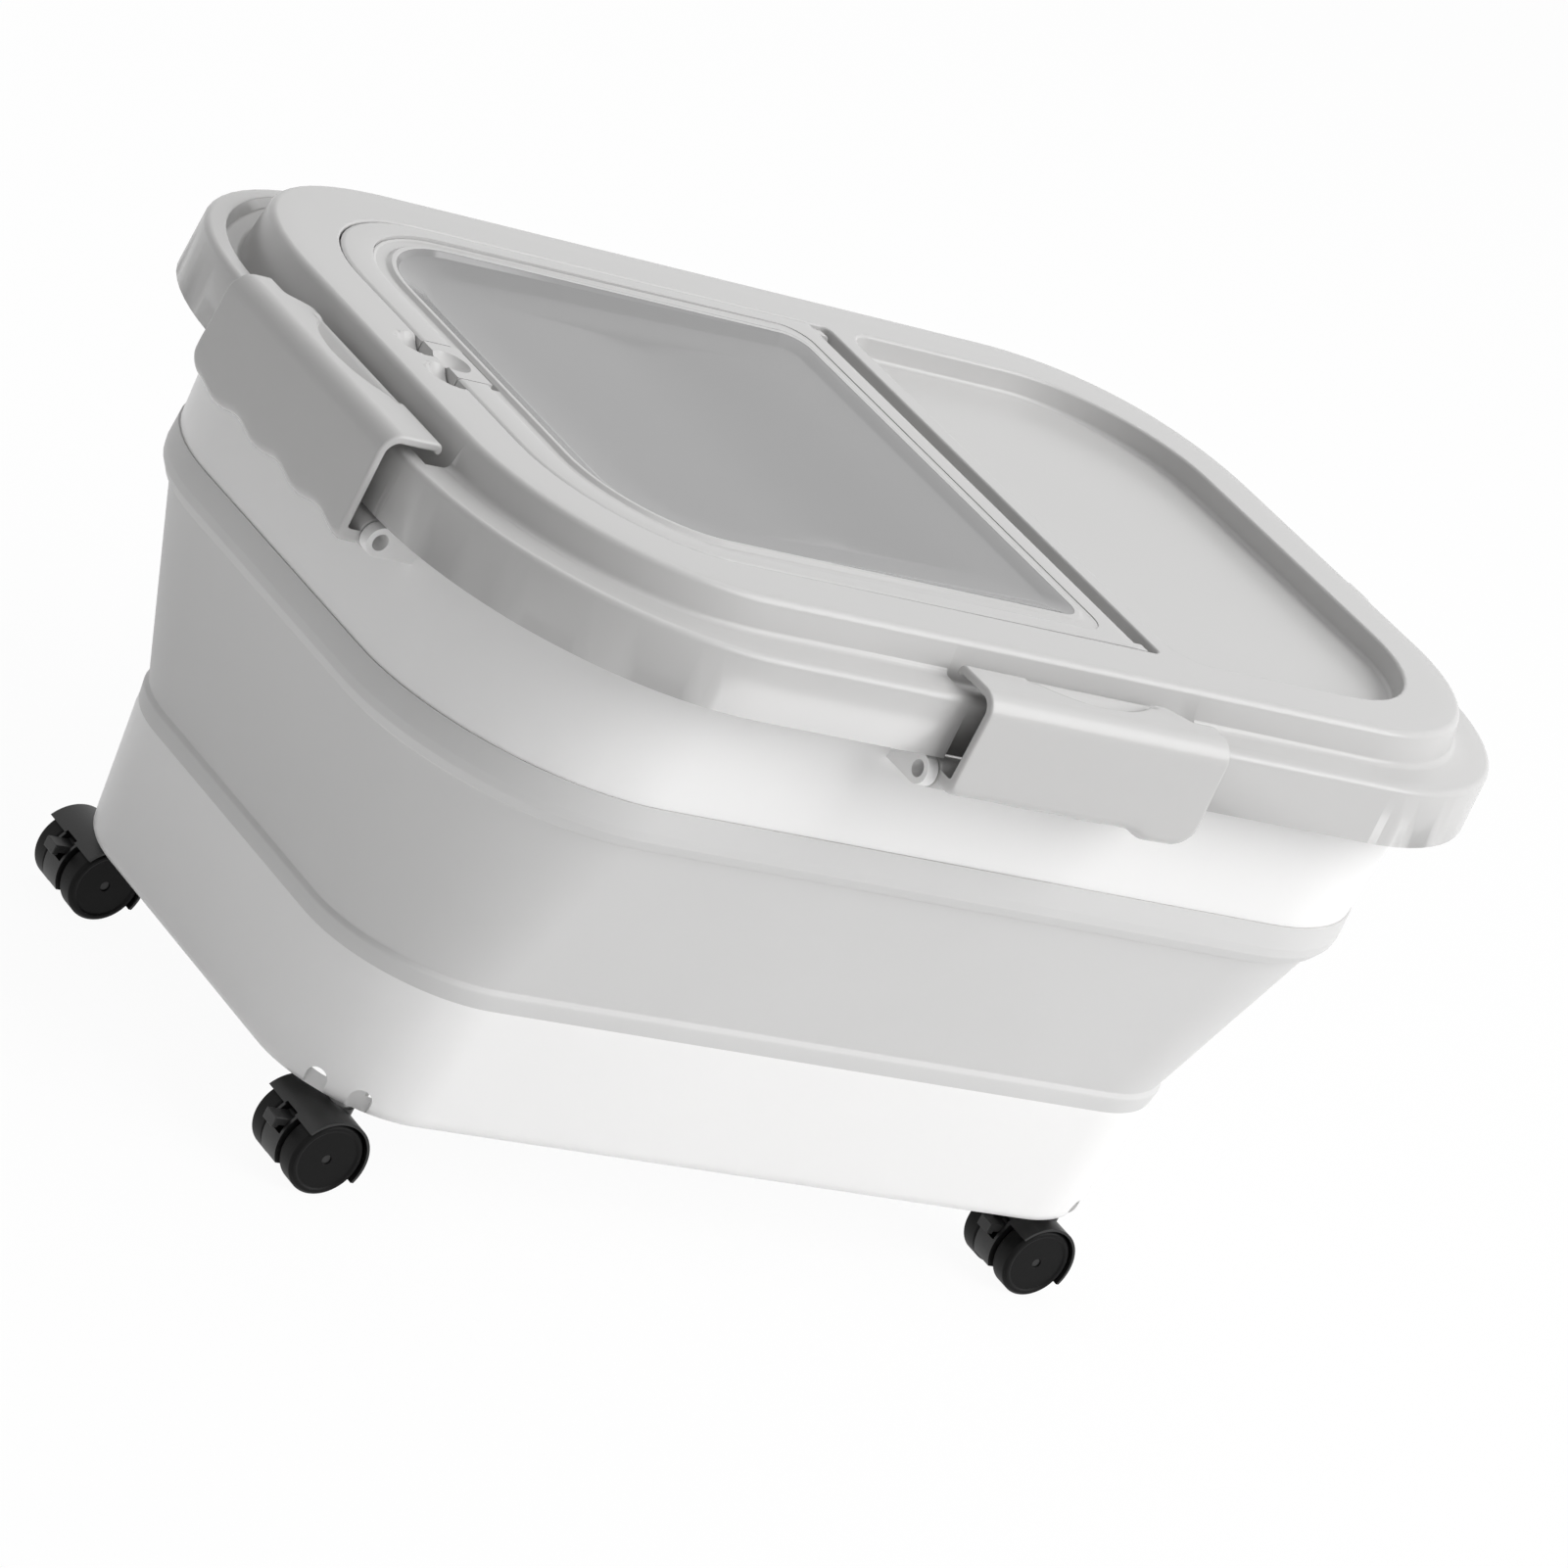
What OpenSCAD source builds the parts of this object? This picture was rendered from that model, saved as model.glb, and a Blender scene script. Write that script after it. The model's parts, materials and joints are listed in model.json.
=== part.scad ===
// Collapsible grain bin on four casters, with a flip door in its latched lid.
// Millimetres, +Z up. Origin: centre of the overall footprint, on the floor.
// X runs along the length, from the flip door's free end (-X) to the fixed half of the lid (+X).
// The latches stand on the -X side (a) and the -Y side (b).

/* [Outline] */
// Half distance between the corner centres along the length
corner_x = 124; // [110:1:140]
// Half distance between the corner centres across the width
corner_y = 50.5; // [48:0.5:60]
// Corner radius of the lid's skirt
skirt_r = 89.5; // [88:0.5:92]

/* [Heights] */
// Height of the tray's lower edge above the floor
tray_z = 27.5; // [27.5:0.5:32]
// Height of the joint between tray and folding band
band_z = 74; // [70:1:80]
// Height of the joint between folding band and upper ring
ring_z = 162; // [150:1:166]
// Height of the lid skirt's lower edge
skirt_z = 204; // [204:1:214]

/* [Walls] */
// Wall of the rigid mouldings
wall = 2.5; // [2:0.1:3]
// Wall of the folding band
band_wall = 2.2; // [1.8:0.1:2.6]

/* [Door] */
// Position of the hinge slot's near edge along the length
slot_x = 36.3; // [30:0.1:45]
// Width of the hinge slot
slot_w = 8.6; // [8:0.1:10]
// Gap round the door
door_gap = 0.6; // [0.4:0.1:1]

/* [Latches] */
// Length of a latch cover
latch_w = 99; // [80:1:104]
// How far a latch cover stands out from the skirt
latch_out = 9; // [8:0.5:11]
// Thickness of a latch cover
latch_t = 3; // [2.5:0.1:3.4]

/* [Casters] */
// Wheel diameter
wheel_d = 25; // [24:0.5:25]
// Half distance between the swivel axes along the length
caster_x = 144.5; // [138:0.5:146]
// Half distance between the swivel axes across the width
caster_y = 76; // [72:0.5:78]
// Offset of the axle from the swivel axis
trail = 5; // [4:0.5:7]

/* [Hidden] */
// Smoothness of round surfaces and the smallest overlap that joins two solids
$fn = 72;
eps = 0.01;

// Corner radii of the tub, from the tray's foot to the ring's rim
foot_r = 40.6;
tray_top_r = 45;
neck_r = 44.2;
shoulder_r = 65.4;
bead_r = 71;
ring_top_r = 73;
rim_r = 76;
rim_h = 4;
rim_z = skirt_z + 7;
foot_fillet = 5;

// Folding band: neck above its lower edge, shoulder and bead below its upper edge
neck_low = band_z + 6.5;
neck_high = band_z + 9.5;
neck_flare = 1.2;
shoulder_z = ring_z - 22.5;
bead_low = ring_z - 16.5;
bead_high = ring_z - 11.5;
bead_edge = 4;

// Tray floor, and the sockets for the caster stems
floor_z = tray_z + 8;
floor_t = wall;
socket_r = 7;
socket_foot = tray_z + 2;
socket_cap = 3;
stem_r = 3.95;
stem_play = 0.05;
stem_top = 43;
notch_a = [-142.5, -121.8];
notch_r = 3.6;
notch_top = 35.8;
notch_in = 3.4;
notch_deep = 8;

// Lid levels and radii: flange, raised deck, seal seat and groove
flange_z = skirt_z + 20;
deck_z = skirt_z + 31;
deck_t = wall;
deck_r = 72.3;
deck_base_r = 74.3;
plug_r = 66;
plug_z = skirt_z + 4;
plug_t = 2;
seal_in_r = 69.5;
seal_out_r = 75.5;
seal_top = skirt_z + 10;
groove_out_r = 81.5;
groove_floor = seal_top + wall;

// Door outline, its recess and its window, each a corner radius and centre
door_r = 51.5;
recess_r = 45;
recess_cx = 119;
recess_cy = 50;
window_r = 36.5;
window_cx = 118;
hinge_side_x = 28.5;
door_recess_z = deck_z - 1.6;
door_foot_z = deck_z - 7.8;
door_rim_t = 2;
pane_top = deck_z - 7;
pane_t = 2;
pane_lip = 4;
window_end_x = hinge_side_x - 6;
ledge_z = deck_z - 9;
ledge_w = 9;
ledge_t = 2;
hinge_x = slot_x + slot_w / 2;
hinge_z = deck_z - 3;
hinge_barrel_r = 2.2;
hinge_pin_r = 1.5;
hinge_play = 0.06;
hinge_arm_y = 97.8;
hinge_arm_w = 3.6;
hinge_pin_l = 3;
hinge_block_w = 6.4;
hinge_block_h = 9.2;
door_y = corner_y + door_r;

// Recessed panel in the fixed half of the lid
panel_x = 53;
panel_r = 52;
panel_depth = 8;

// Door catch: a tongue in a bay of the door, under finger scoops of the lid
catch_w = 22;
catch_l = 14;
catch_play = 0.5;
catch_travel = 2.5;
catch_t = 3.6;
catch_front_t = 1.8;
bay_wall = 1.6;
thumb_r = 8.4;
thumb_x = 4;
finger_r = 8.5;
finger_y = 9;
finger_up = 4;
finger_block = [11, 36, 7];

// Latch section, measured from its pivot
pivot_r = skirt_r - 3;
pivot_z = skirt_z - 6;
rod_r = 3.4;
knuckle_r = 5.4;
latch_play = 0.06;
latch_top = 32;
latch_top_t = 3.5;
latch_foot = -8.7;
lip_in = 9.3;
lip_t = 3;
lip_swing_r = 26.6;
latch_bend_r = 7;
latch_shift = 2.5;
latch_curl_r = 4;
latch_web_top = -4.4;
wave_depth = 1.3;
wave_length = 26;
scoop_r = 36;
scoop_y = 2;
scoop_ridge = 1.7;
scoop_floor = 27.9;
scoop_bed = 26.7;
lug_w = 4;
lug_gap = 0.6;
lug_r = 4.8;

// Caster: twin wheels, hood with web, axle, stem and brake lever
wheel_r = wheel_d / 2;
wheel_w = 8;
wheel_in = 5.2;
web_w = 8.8;
hood_gap = 0.5;
hood_t = 0.9;
hood_w = 27.4;
axle_r = 1.5;
collar_r = 4.9;
stem_foot = wheel_d - 1.5;
brake_w = 6;
brake_slot = 6.6;
brake_pin = [-7.5, 5.5];

sides = ["a", "b"];
caster_names = ["front_left", "front_right", "rear_left", "rear_right"];
// Each caster's place as signs of X and Y
caster_signs = [[-1, -1], [1, -1], [-1, 1], [1, 1]];

// Points of an arc about [x, y] from angle a to angle b
function arc(x, y, r, a, b, n = 6) =
  [for (i = [0 : n]) let (t = a + (b - a) * i / n) [x + r * cos(t), y + r * sin(t)]];

// Flat outline of a rectangle with corner centres at [cx, cy] and corner radius r
module outline(r, cx = corner_x, cy = corner_y) {
  square([2 * cx, 2 * (cy + r)], center = true);
  square([2 * (cx + r), 2 * cy], center = true);
  for (x = [-cx, cx], y = [-cy, cy])
    translate([x, y]) circle(r);
}

// Slab of that outline between two heights
module slab(r, z0, z1, cx = corner_x, cy = corner_y) {
  translate([0, 0, z0]) linear_extrude(z1 - z0) outline(r, cx, cy);
}

// Carries a flat section (radius, height) round the outline of corner centres
module around(cx = corner_x, cy = corner_y) {
  for (k = [0 : 3])
    translate([k == 0 || k == 3 ? cx : -cx, k < 2 ? cy : -cy, 0])
      rotate(90 * k) rotate_extrude(angle = 90) children();
  for (k = [0, 1]) {
    rotate(180 * k) translate([cx, cy, 0])
      rotate([90, 0, 0]) linear_extrude(2 * cy) children();
    rotate(180 * k + 90) translate([cy, cx, 0])
      rotate([90, 0, 0]) linear_extrude(2 * cx) children();
  }
}

// Puts a piece on side a (-X) for k = 0, or on side b (-Y) for k = 1.
// The piece is drawn with its radius along +X and its length along Y.
module on_side(k) {
  rotate(180 + 90 * k) translate([k == 0 ? corner_x : corner_y, 0, 0]) children();
}

// Half outline that ends at the hinge side, rounded only at the free end
module door_shape(r, cx, cy, end_x, end_r) {
  difference() {
    outline(r, cx, cy);
    translate([end_x, -200]) square([400, 400]);
    for (s = [-1, 1])
      translate([end_x, s * (cy + r)]) rotate(s > 0 ? 180 : 90) corner_cut(end_r);
  }
}

// Removes a square corner, leaving a fillet of radius r in the first quadrant
module corner_cut(r) {
  difference() {
    translate([-1, -1]) square(r + 1);
    translate([r, r]) circle(r);
  }
}

// ---- Tub ----

function tray_r(z) = foot_r + (tray_top_r - foot_r) * (z - tray_z) / (band_z - tray_z);

module tray_section() {
  polygon(concat(
    arc(tray_r(tray_z + foot_fillet) - foot_fillet, tray_z + foot_fillet, foot_fillet, -90, 0),
    [[tray_top_r, band_z - 3], [tray_top_r, band_z],
     [tray_top_r - wall, band_z], [tray_r(floor_z) - wall, floor_z],
     [tray_r(tray_z + foot_fillet) - wall - 1.5, tray_z + foot_fillet],
     [tray_r(tray_z + foot_fillet) - foot_fillet, tray_z + wall]]
  ));
}

// Two arched cut-outs in the foot of each corner
module corner_notches() {
  for (a = notch_a)
    rotate(a) translate([foot_r - notch_in, 0, notch_top - notch_r]) rotate([0, 90, 0]) {
      cylinder(h = notch_deep, r = notch_r);
      translate([0, -notch_r, 0]) cube([12, 2 * notch_r, notch_deep]);
    }
}

module base_tray() color("white") difference() {
  union() {
    around() tray_section();
    slab(tray_r(floor_z) - wall / 2, floor_z, floor_z + floor_t);
    for (s = caster_signs)
      translate([s[0] * caster_x, s[1] * caster_y, socket_foot])
        cylinder(h = stem_top + socket_cap - socket_foot, r = socket_r);
  }
  for (s = caster_signs) {
    translate([s[0] * caster_x, s[1] * caster_y, tray_z])
      cylinder(h = stem_top + 0.5 - tray_z, r = stem_r + stem_play);
    translate([s[0] * corner_x, s[1] * corner_y, 0])
      mirror([s[0] > 0 ? 1 : 0, 0, 0]) mirror([0, s[1] > 0 ? 1 : 0, 0]) corner_notches();
  }
}

// Outer face of the folding band, from its lower bead to its upper bead
function band_face() = concat(
  [[tray_top_r, band_z], [neck_r, neck_low], [neck_r + neck_flare, neck_high]],
  [[shoulder_r, shoulder_z]],
  arc(bead_r + 1 - bead_edge, bead_low, bead_edge, -60, 0),
  [[bead_r + 1, bead_high], [bead_r, ring_z]]
);

module folding_band() color("gainsboro") around()
  polygon(concat(
    band_face(),
    [for (i = [len(band_face()) - 1 : -1 : 0]) band_face()[i] - [band_wall, 0]]
  ));

module ring_section() {
  polygon([
    [bead_r - wall, ring_z], [bead_r, ring_z], [ring_top_r, skirt_z],
    [ring_top_r, rim_z - rim_h], [rim_r, rim_z - rim_h], [rim_r, rim_z],
    [ring_top_r - wall, rim_z], [ring_top_r - wall, skirt_z]
  ]);
}

// Hinge rod of one latch, held by a lug at each end
module latch_rod() {
  half = latch_w / 2 + lug_gap;
  for (s = [-1, 1]) translate([0, s * (half + lug_w / 2) + latch_shift, 0]) {
    translate([pivot_r, 0, pivot_z]) rotate([90, 0, 0])
      cylinder(h = lug_w, r = lug_r, center = true);
    translate([ring_top_r - wall, -lug_w / 2, pivot_z - lug_r])
      cube([pivot_r - ring_top_r + wall, lug_w, 2 * lug_r]);
  }
  translate([pivot_r, latch_shift, pivot_z]) rotate([90, 0, 0])
    cylinder(h = 2 * half + 1, r = rod_r, center = true);
}

module rod_bores() {
  half = latch_w / 2 + lug_gap + lug_w;
  depth = 7;
  for (s = [-1, 1])
    translate([pivot_r, s * (half - depth / 2 + 1) + latch_shift, pivot_z]) rotate([90, 0, 0])
      cylinder(h = depth + 2, r = rod_r - 0.7, center = true);
}

module upper_ring() color("white") difference() {
  union() {
    around() ring_section();
    for (k = [0, 1]) on_side(k) mirror([0, k, 0]) latch_rod();
  }
  for (k = [0, 1]) on_side(k) mirror([0, k, 0]) rod_bores();
}

module lid_gasket() color("whitesmoke") around()
  polygon([
    [seal_in_r + 0.5, rim_z], [seal_out_r - 0.5, rim_z], [seal_out_r, seal_top],
    [seal_in_r, seal_top]
  ]);

// ---- Lid ----

// Skirt, flange and raised rim of the deck
module lid_section() {
  bend = 4;
  edge = 3;
  polygon(concat(
    [[skirt_r - wall, skirt_z], [skirt_r, skirt_z]],
    arc(skirt_r - bend, flange_z - bend, bend, 0, 90),
    [[deck_base_r + 0.8, flange_z], [deck_base_r, flange_z + 1]],
    arc(deck_r - edge + 1, deck_z - edge, edge, 0, 90),
    [[deck_r - 6, deck_z], [deck_r - 6, deck_z - deck_t]],
    [[deck_r - wall, deck_z - deck_t], [seal_in_r, flange_z - 3], [seal_in_r, seal_top],
     [seal_out_r + 1, seal_top], [seal_out_r + 1, flange_z - wall],
     [skirt_r - wall - 1, flange_z - wall], [skirt_r - wall, flange_z - wall - 1]]
  ));
}

// Solid bed for a groove, and the groove itself, as sections
module groove_bed() {
  translate([seal_in_r, seal_top])
    square([groove_out_r + wall - seal_in_r, flange_z - 2 - seal_top]);
}

module groove_cut() {
  polygon(concat(
    [[deck_base_r, flange_z + 1], [deck_base_r, groove_floor], [groove_out_r, groove_floor]],
    [[groove_out_r, flange_z - 2.5]],
    arc(groove_out_r + 2.5, flange_z - 2.5, 2.5, 180, 90),
    [[groove_out_r + 2.5, flange_z + 1]]
  ));
}

// Carries a section round the free end of the door half: side a and its two corners
module round_end() {
  for (s = [-1, 1]) translate([-corner_x, s * corner_y, 0])
    rotate(s > 0 ? 90 : 180) rotate_extrude(angle = 90) children();
  rotate(180) translate([corner_x, corner_y, 0])
    rotate([90, 0, 0]) linear_extrude(2 * corner_y) children();
}

// Straight pocket behind the latch of side b
module latch_pocket() {
  length = latch_w + 1;
  on_side(1) translate([0, length / 2 - latch_shift, 0])
    rotate([90, 0, 0]) linear_extrude(length) children();
}

module door_hole() {
  door_shape(door_r, corner_x, corner_y, slot_x + slot_w, 0.5);
}

// Wall and ledge that carry the door, round the hole in the deck
module door_seat() {
  translate([0, 0, ledge_z - ledge_t]) linear_extrude(deck_z - ledge_z) difference() {
    door_shape(door_r + wall, corner_x, corner_y, slot_x + slot_w + wall, 0.5);
    door_hole();
  }
  translate([0, 0, ledge_z - ledge_t]) linear_extrude(ledge_t) difference() {
    door_shape(door_r + wall, corner_x, corner_y, slot_x + slot_w + wall, 0.5);
    door_shape(door_r - ledge_w, corner_x, corner_y, slot_x - ledge_w, 8);
  }
  for (s = [-1, 1])
    translate([hinge_x, s * (door_y + hinge_block_w / 2), deck_z - hinge_block_h / 2])
    cube([slot_w + 2 * wall, hinge_block_w, hinge_block_h], center = true);
}

module panel_shape(r) {
  rotate(180) door_shape(r, corner_x, corner_y, -panel_x, 12);
}

module panel_pan() {
  translate([0, 0, deck_z - panel_depth - wall]) linear_extrude(panel_depth + wall - eps)
    panel_shape(panel_r + 2);
}

module lid_frame() color("lightgray") difference() {
  union() {
    around() lid_section();
    around() translate([plug_r - plug_t, plug_z])
      square([plug_t, deck_z - deck_t - plug_z + 1]);
    slab(deck_r - 5, deck_z - deck_t, deck_z);
    round_end() groove_bed();
    latch_pocket() groove_bed();
    lift_tab();
    intersection() {
      union() {
        door_seat();
        panel_pan();
        translate([-corner_x - door_r - 1 - finger_block[0], -finger_block[1] / 2,
          deck_z - eps - finger_block[2]]) cube(finger_block);
      }
      slab(deck_r - 1, skirt_z, deck_z);
    }
  }
  translate([0, 0, ledge_z]) linear_extrude(20) door_hole();
  translate([0, 0, skirt_z]) linear_extrude(40)
    door_shape(door_r - ledge_w, corner_x, corner_y, slot_x - ledge_w, 8);
  translate([0, 0, deck_z - panel_depth]) linear_extrude(20) panel_shape(panel_r);
  round_end() groove_cut();
  latch_pocket() groove_cut();
  for (s = [-1, 1]) translate([hinge_x, s * (door_y + 1), hinge_z]) rotate([90, 0, 0])
    cylinder(h = 2 * hinge_pin_l, r = hinge_pin_r + hinge_play, center = true);
  finger_scoops();
}

// Small wedge on the flange of the +X side, to lift the lid by
module lift_tab() {
  rise = 8.4;
  translate([corner_x + deck_base_r + 4, -5, flange_z - 1]) rotate([90, 0, 0])
    linear_extrude(11) polygon([[0, 0], [9, 0], [8, rise - 2], [6, rise], [2, rise], [0, rise - 2]]);
}

// Two shallow scoops in the deck beside the door catch
module finger_scoops() {
  for (y = [finger_y, -finger_y])
    translate([-corner_x - door_r - 1, y, deck_z + finger_up]) sphere(r = finger_r);
}

// ---- Door ----

module door_plan(inset = 0) {
  door_shape(door_r - door_gap - inset, corner_x, corner_y, slot_x - inset, 0.5);
}

module recess_plan(inset = 0) {
  door_shape(recess_r - inset, recess_cx, recess_cy, hinge_side_x - inset, 10);
}

module window_plan(inset = 0) {
  door_shape(window_r - inset, window_cx, recess_cy, window_end_x - inset, 8);
}

module catch_bay(play) {
  translate([-corner_x - door_r - 2, -catch_w / 2 - play, door_foot_z - 1])
    cube([catch_l + 2 + (play > 0 ? catch_travel + play : 0), catch_w + 2 * play, 12]);
}

module hinge_arm(s) {
  y0 = s * hinge_arm_y;
  translate([hinge_x, y0, hinge_z]) rotate([90, 0, 0]) {
    cylinder(h = hinge_arm_w, r = hinge_barrel_r, center = true);
    translate([0, 0, -s * (hinge_arm_w / 2 + hinge_pin_l / 2 + 0.9)])
      cylinder(h = hinge_pin_l + 1.9, r = hinge_pin_r, center = true);
  }
  translate([slot_x - 3, y0 - hinge_arm_w / 2, hinge_z - hinge_barrel_r])
    cube([hinge_x - slot_x + 3, hinge_arm_w, 2 * hinge_barrel_r - 0.6]);
}

module door_frame() color("lightgray") difference() {
  union() {
    difference() {
      translate([0, 0, door_foot_z]) linear_extrude(deck_z - door_foot_z) door_plan();
      translate([0, 0, door_recess_z]) linear_extrude(10) recess_plan();
      translate([0, 0, door_foot_z - 1]) linear_extrude(door_recess_z - wall - door_foot_z + 1)
        difference() {
          door_plan(door_rim_t);
          window_plan(-door_rim_t);
        }
      linear_extrude(deck_z + 1) window_plan();
    }
    window_seat();
    catch_housing();
    for (s = [-1, 1]) hinge_arm(s);
  }
  catch_bay(catch_play);
}

// Wall round the window, and the lip that the pane rests on
module window_seat() {
  pane_foot = pane_top - pane_t;
  difference() {
    translate([0, 0, pane_foot - door_rim_t])
      linear_extrude(door_foot_z + 1 - pane_foot + door_rim_t) window_plan(-door_rim_t);
    linear_extrude(deck_z) window_plan(pane_lip);
    translate([0, 0, pane_foot]) linear_extrude(deck_z - pane_foot) window_plan();
  }
}

// Walls of the bay that guides the catch
module catch_housing() {
  width = catch_w + 2 * (catch_play + bay_wall);
  translate([-corner_x - door_r + door_gap, -width / 2, door_foot_z])
    cube([catch_l + catch_travel + 3, width, 6]);
}

module door_window() color("silver", 0.5)
  translate([0, 0, pane_top - pane_t]) linear_extrude(pane_t) window_plan(0.1);

module door_gasket() color("whitesmoke")
  translate([0, 0, ledge_z]) linear_extrude(door_foot_z - ledge_z) difference() {
    door_plan(0.4);
    door_plan(3.4);
    translate([-corner_x - door_r - 1, -catch_w / 2 - 3]) square([8, catch_w + 6]);
  }

module door_catch() color("lightgray") {
  x0 = -corner_x - door_r + door_gap;
  translate([x0, -catch_w / 2, deck_z - catch_t]) difference() {
    cube([catch_l - 1, catch_w, catch_t]);
    translate([thumb_x, catch_w / 2, catch_t + 5.4]) sphere(r = thumb_r);
  }
  translate([x0, -catch_w / 2, door_foot_z + 0.4])
    cube([catch_front_t, catch_w, deck_z - door_foot_z - 2]);
}

// ---- Latches ----

// Hooked section of a latch about its pivot: radius along +X, height along +Y
module latch_section() {
  out = latch_out + 3;
  lip_a = acos(-lip_in / lip_swing_r);
  lip_b = acos((lip_t - lip_in) / lip_swing_r);
  polygon(concat(
    [[0, latch_foot]],
    arc(out - latch_curl_r, latch_foot + latch_curl_r, latch_curl_r, -90, 0),
    arc(out - latch_bend_r, latch_top - latch_bend_r, latch_bend_r, 0, 90),
    arc(1 - lip_in, latch_top - 1, 1, 90, 180, 3),
    arc(0, 0, lip_swing_r, lip_a, lip_b, 3),
    [[-lip_in + lip_t, latch_top - latch_top_t]],
    arc(out - latch_bend_r, latch_top - latch_bend_r, latch_bend_r - latch_t, 90, 0),
    arc(out - latch_curl_r, latch_foot + latch_curl_r, latch_curl_r - latch_t, 0, -60, 3),
    [[out - latch_curl_r, latch_web_top], [0, latch_web_top]]
  ));
}

// Outline of the cover seen from outside: wavy lower edge, one straight and one splayed end
module latch_face() {
  half = latch_w / 2;
  splay = 5;
  near_r = 3;
  far_r = 6;
  steps = 30;
  reach = latch_w - near_r - far_r - 4;
  polygon(concat(
    [[half, latch_top + 1], [half, latch_foot + near_r]],
    arc(half - near_r, latch_foot + near_r, near_r, 0, -90, 4),
    [for (i = [1 : steps - 1]) let (y = half - near_r - reach * i / steps)
      [y, latch_foot + wave_depth * (1 - cos(360 * (half - near_r - y) / wave_length))]],
    arc(-half + far_r, latch_foot + far_r, far_r, -90, -170, 6),
    [[-half + splay, latch_top + 1]]
  ));
}

// Part of the top that is cut back at the splayed end, seen from above
module latch_cut_back() {
  half = latch_w / 2;
  back_x = -2.5;
  run = 9;
  polygon(concat(
    [[-lip_in - 5, -half - 1], [back_x, -half - 1]],
    [for (i = [0 : 10]) let (t = i / 10)
      [back_x - (lip_in + back_x + 0.5) * (1 - cos(180 * t)) / 2, -half + 8 + run * t]],
    [[-lip_in - 5, -half + 8 + run]]
  ));
}

// Lens seen from above: where the top dips for a fingertip
module scoop_lens(grow) {
  translate([-lip_in - scoop_r + 8.2, scoop_y]) circle(r = scoop_r + grow, $fn = 96);
}

module latch_scoop() intersection() {
  linear_extrude(latch_top + 5) scoop_lens(0);
  rotate([90, 0, 0]) translate([0, 0, -latch_w]) linear_extrude(2 * latch_w) polygon([
    [scoop_ridge - lip_in, latch_top + 5], [scoop_ridge - lip_in, latch_top - 0.8],
    [-lip_in + 7.4, scoop_floor], [latch_out, scoop_floor], [latch_out, latch_top + 5]
  ]);
}

module latch_cover() difference() {
  union() {
    intersection() {
      rotate([90, 0, 0]) translate([0, 0, -latch_w / 2]) linear_extrude(latch_w) latch_section();
      rotate([90, 0, 90]) translate([0, 0, -40]) linear_extrude(80) latch_face();
    }
    rotate([90, 0, 0]) cylinder(h = latch_w - 1, r = knuckle_r, center = true);
    intersection() {
      translate([0, 0, scoop_bed]) linear_extrude(latch_top - 1 - scoop_bed) scoop_lens(1.5);
      translate([1 - lip_in, -latch_w / 2, 0]) cube([latch_out, latch_w, 40]);
    }
  }
  rotate([90, 0, 0]) cylinder(h = latch_w + 2, r = rod_r + latch_play, center = true);
  latch_scoop();
  translate([0, 0, 10]) linear_extrude(30) latch_cut_back();
}

module latch(k) color("lightgray")
  on_side(k) mirror([0, k, 0]) translate([pivot_r, latch_shift, pivot_z]) latch_cover();

// ---- Casters ----

// Frame of caster i: origin on the floor below its swivel axis
module at_caster(i) {
  translate([caster_signs[i][0] * caster_x, caster_signs[i][1] * caster_y, 0]) children();
}

module at_axle() {
  translate([-trail, 0, wheel_r]) rotate([90, 0, 0]) children();
}

module caster_stem() color("silver") translate([0, 0, stem_foot])
  cylinder(h = stem_top - stem_foot, r = stem_r);

module hood_shell() {
  r0 = wheel_r + hood_gap;
  r1 = r0 + hood_t;
  difference() {
    cylinder(h = hood_w, r = r1, center = true);
    cylinder(h = hood_w + 1, r = r0, center = true);
    translate([-20, -40, -20]) cube([40, 34, 40]);
    rotate(-20) translate([-40, -30, -20]) cube([40, 34, 40]);
  }
}

module caster_hood() color("dimgray") difference() {
  union() {
    at_axle() {
      hood_shell();
      intersection() {
        cylinder(h = web_w, r = wheel_r + hood_gap + 0.2, center = true);
        translate([-20, -8, -20]) cube([40, 40, 40]);
      }
    }
    translate([0, 0, wheel_d - 3]) cylinder(h = 4.2, r = collar_r);
  }
  at_axle() {
    cylinder(h = 40, r = axle_r, center = true);
    // slot for the brake lever
    translate([-20, 1.2, -brake_slot / 2]) cube([16, 8, brake_slot]);
    translate([brake_pin[0], brake_pin[1], 0]) cylinder(h = web_w + 2, r = 1.06, center = true);
  }
  translate([0, 0, stem_foot]) cylinder(h = 10, r = stem_r);
}

module caster_axle() color("silver") at_axle()
  cylinder(h = hood_w - 3, r = axle_r, center = true);

// Wheel with a raised tread and a dished outer face
module caster_wheel(s) color("dimgray") at_axle()
  translate([0, 0, -s * (wheel_in + wheel_w / 2)]) mirror([0, 0, s > 0 ? 1 : 0])
    rotate_extrude() polygon([
      [axle_r + 0.05, -wheel_w / 2], [wheel_r - 1, -wheel_w / 2], [wheel_r, -wheel_w / 2 + 1],
      [wheel_r, wheel_w / 2 - 1], [wheel_r - 1, wheel_w / 2], [wheel_r - 2, wheel_w / 2],
      [wheel_r - 2.6, wheel_w / 2 - 0.5], [3, wheel_w / 2 - 0.5],
      [axle_r + 0.05, wheel_w / 2 - 0.5]
    ]);

module caster_brake() color("gray") at_axle() {
  translate([brake_pin[0], brake_pin[1], 0]) {
    cylinder(h = web_w - 0.4, r = 1, center = true);
    cylinder(h = brake_w, r = 2, center = true);
    translate([-9.4, -1.6, -brake_w / 2]) cube([9.4, 2.6, brake_w]);
    translate([-9.4, -2.6, -brake_w / 2]) cube([2.2, 3.6, brake_w]);
  }
}

// Brings the middle of the overall footprint, latches included, to the origin
module centred() {
  translate([latch_out / 2, latch_out / 2, 0]) children();
}

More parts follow.
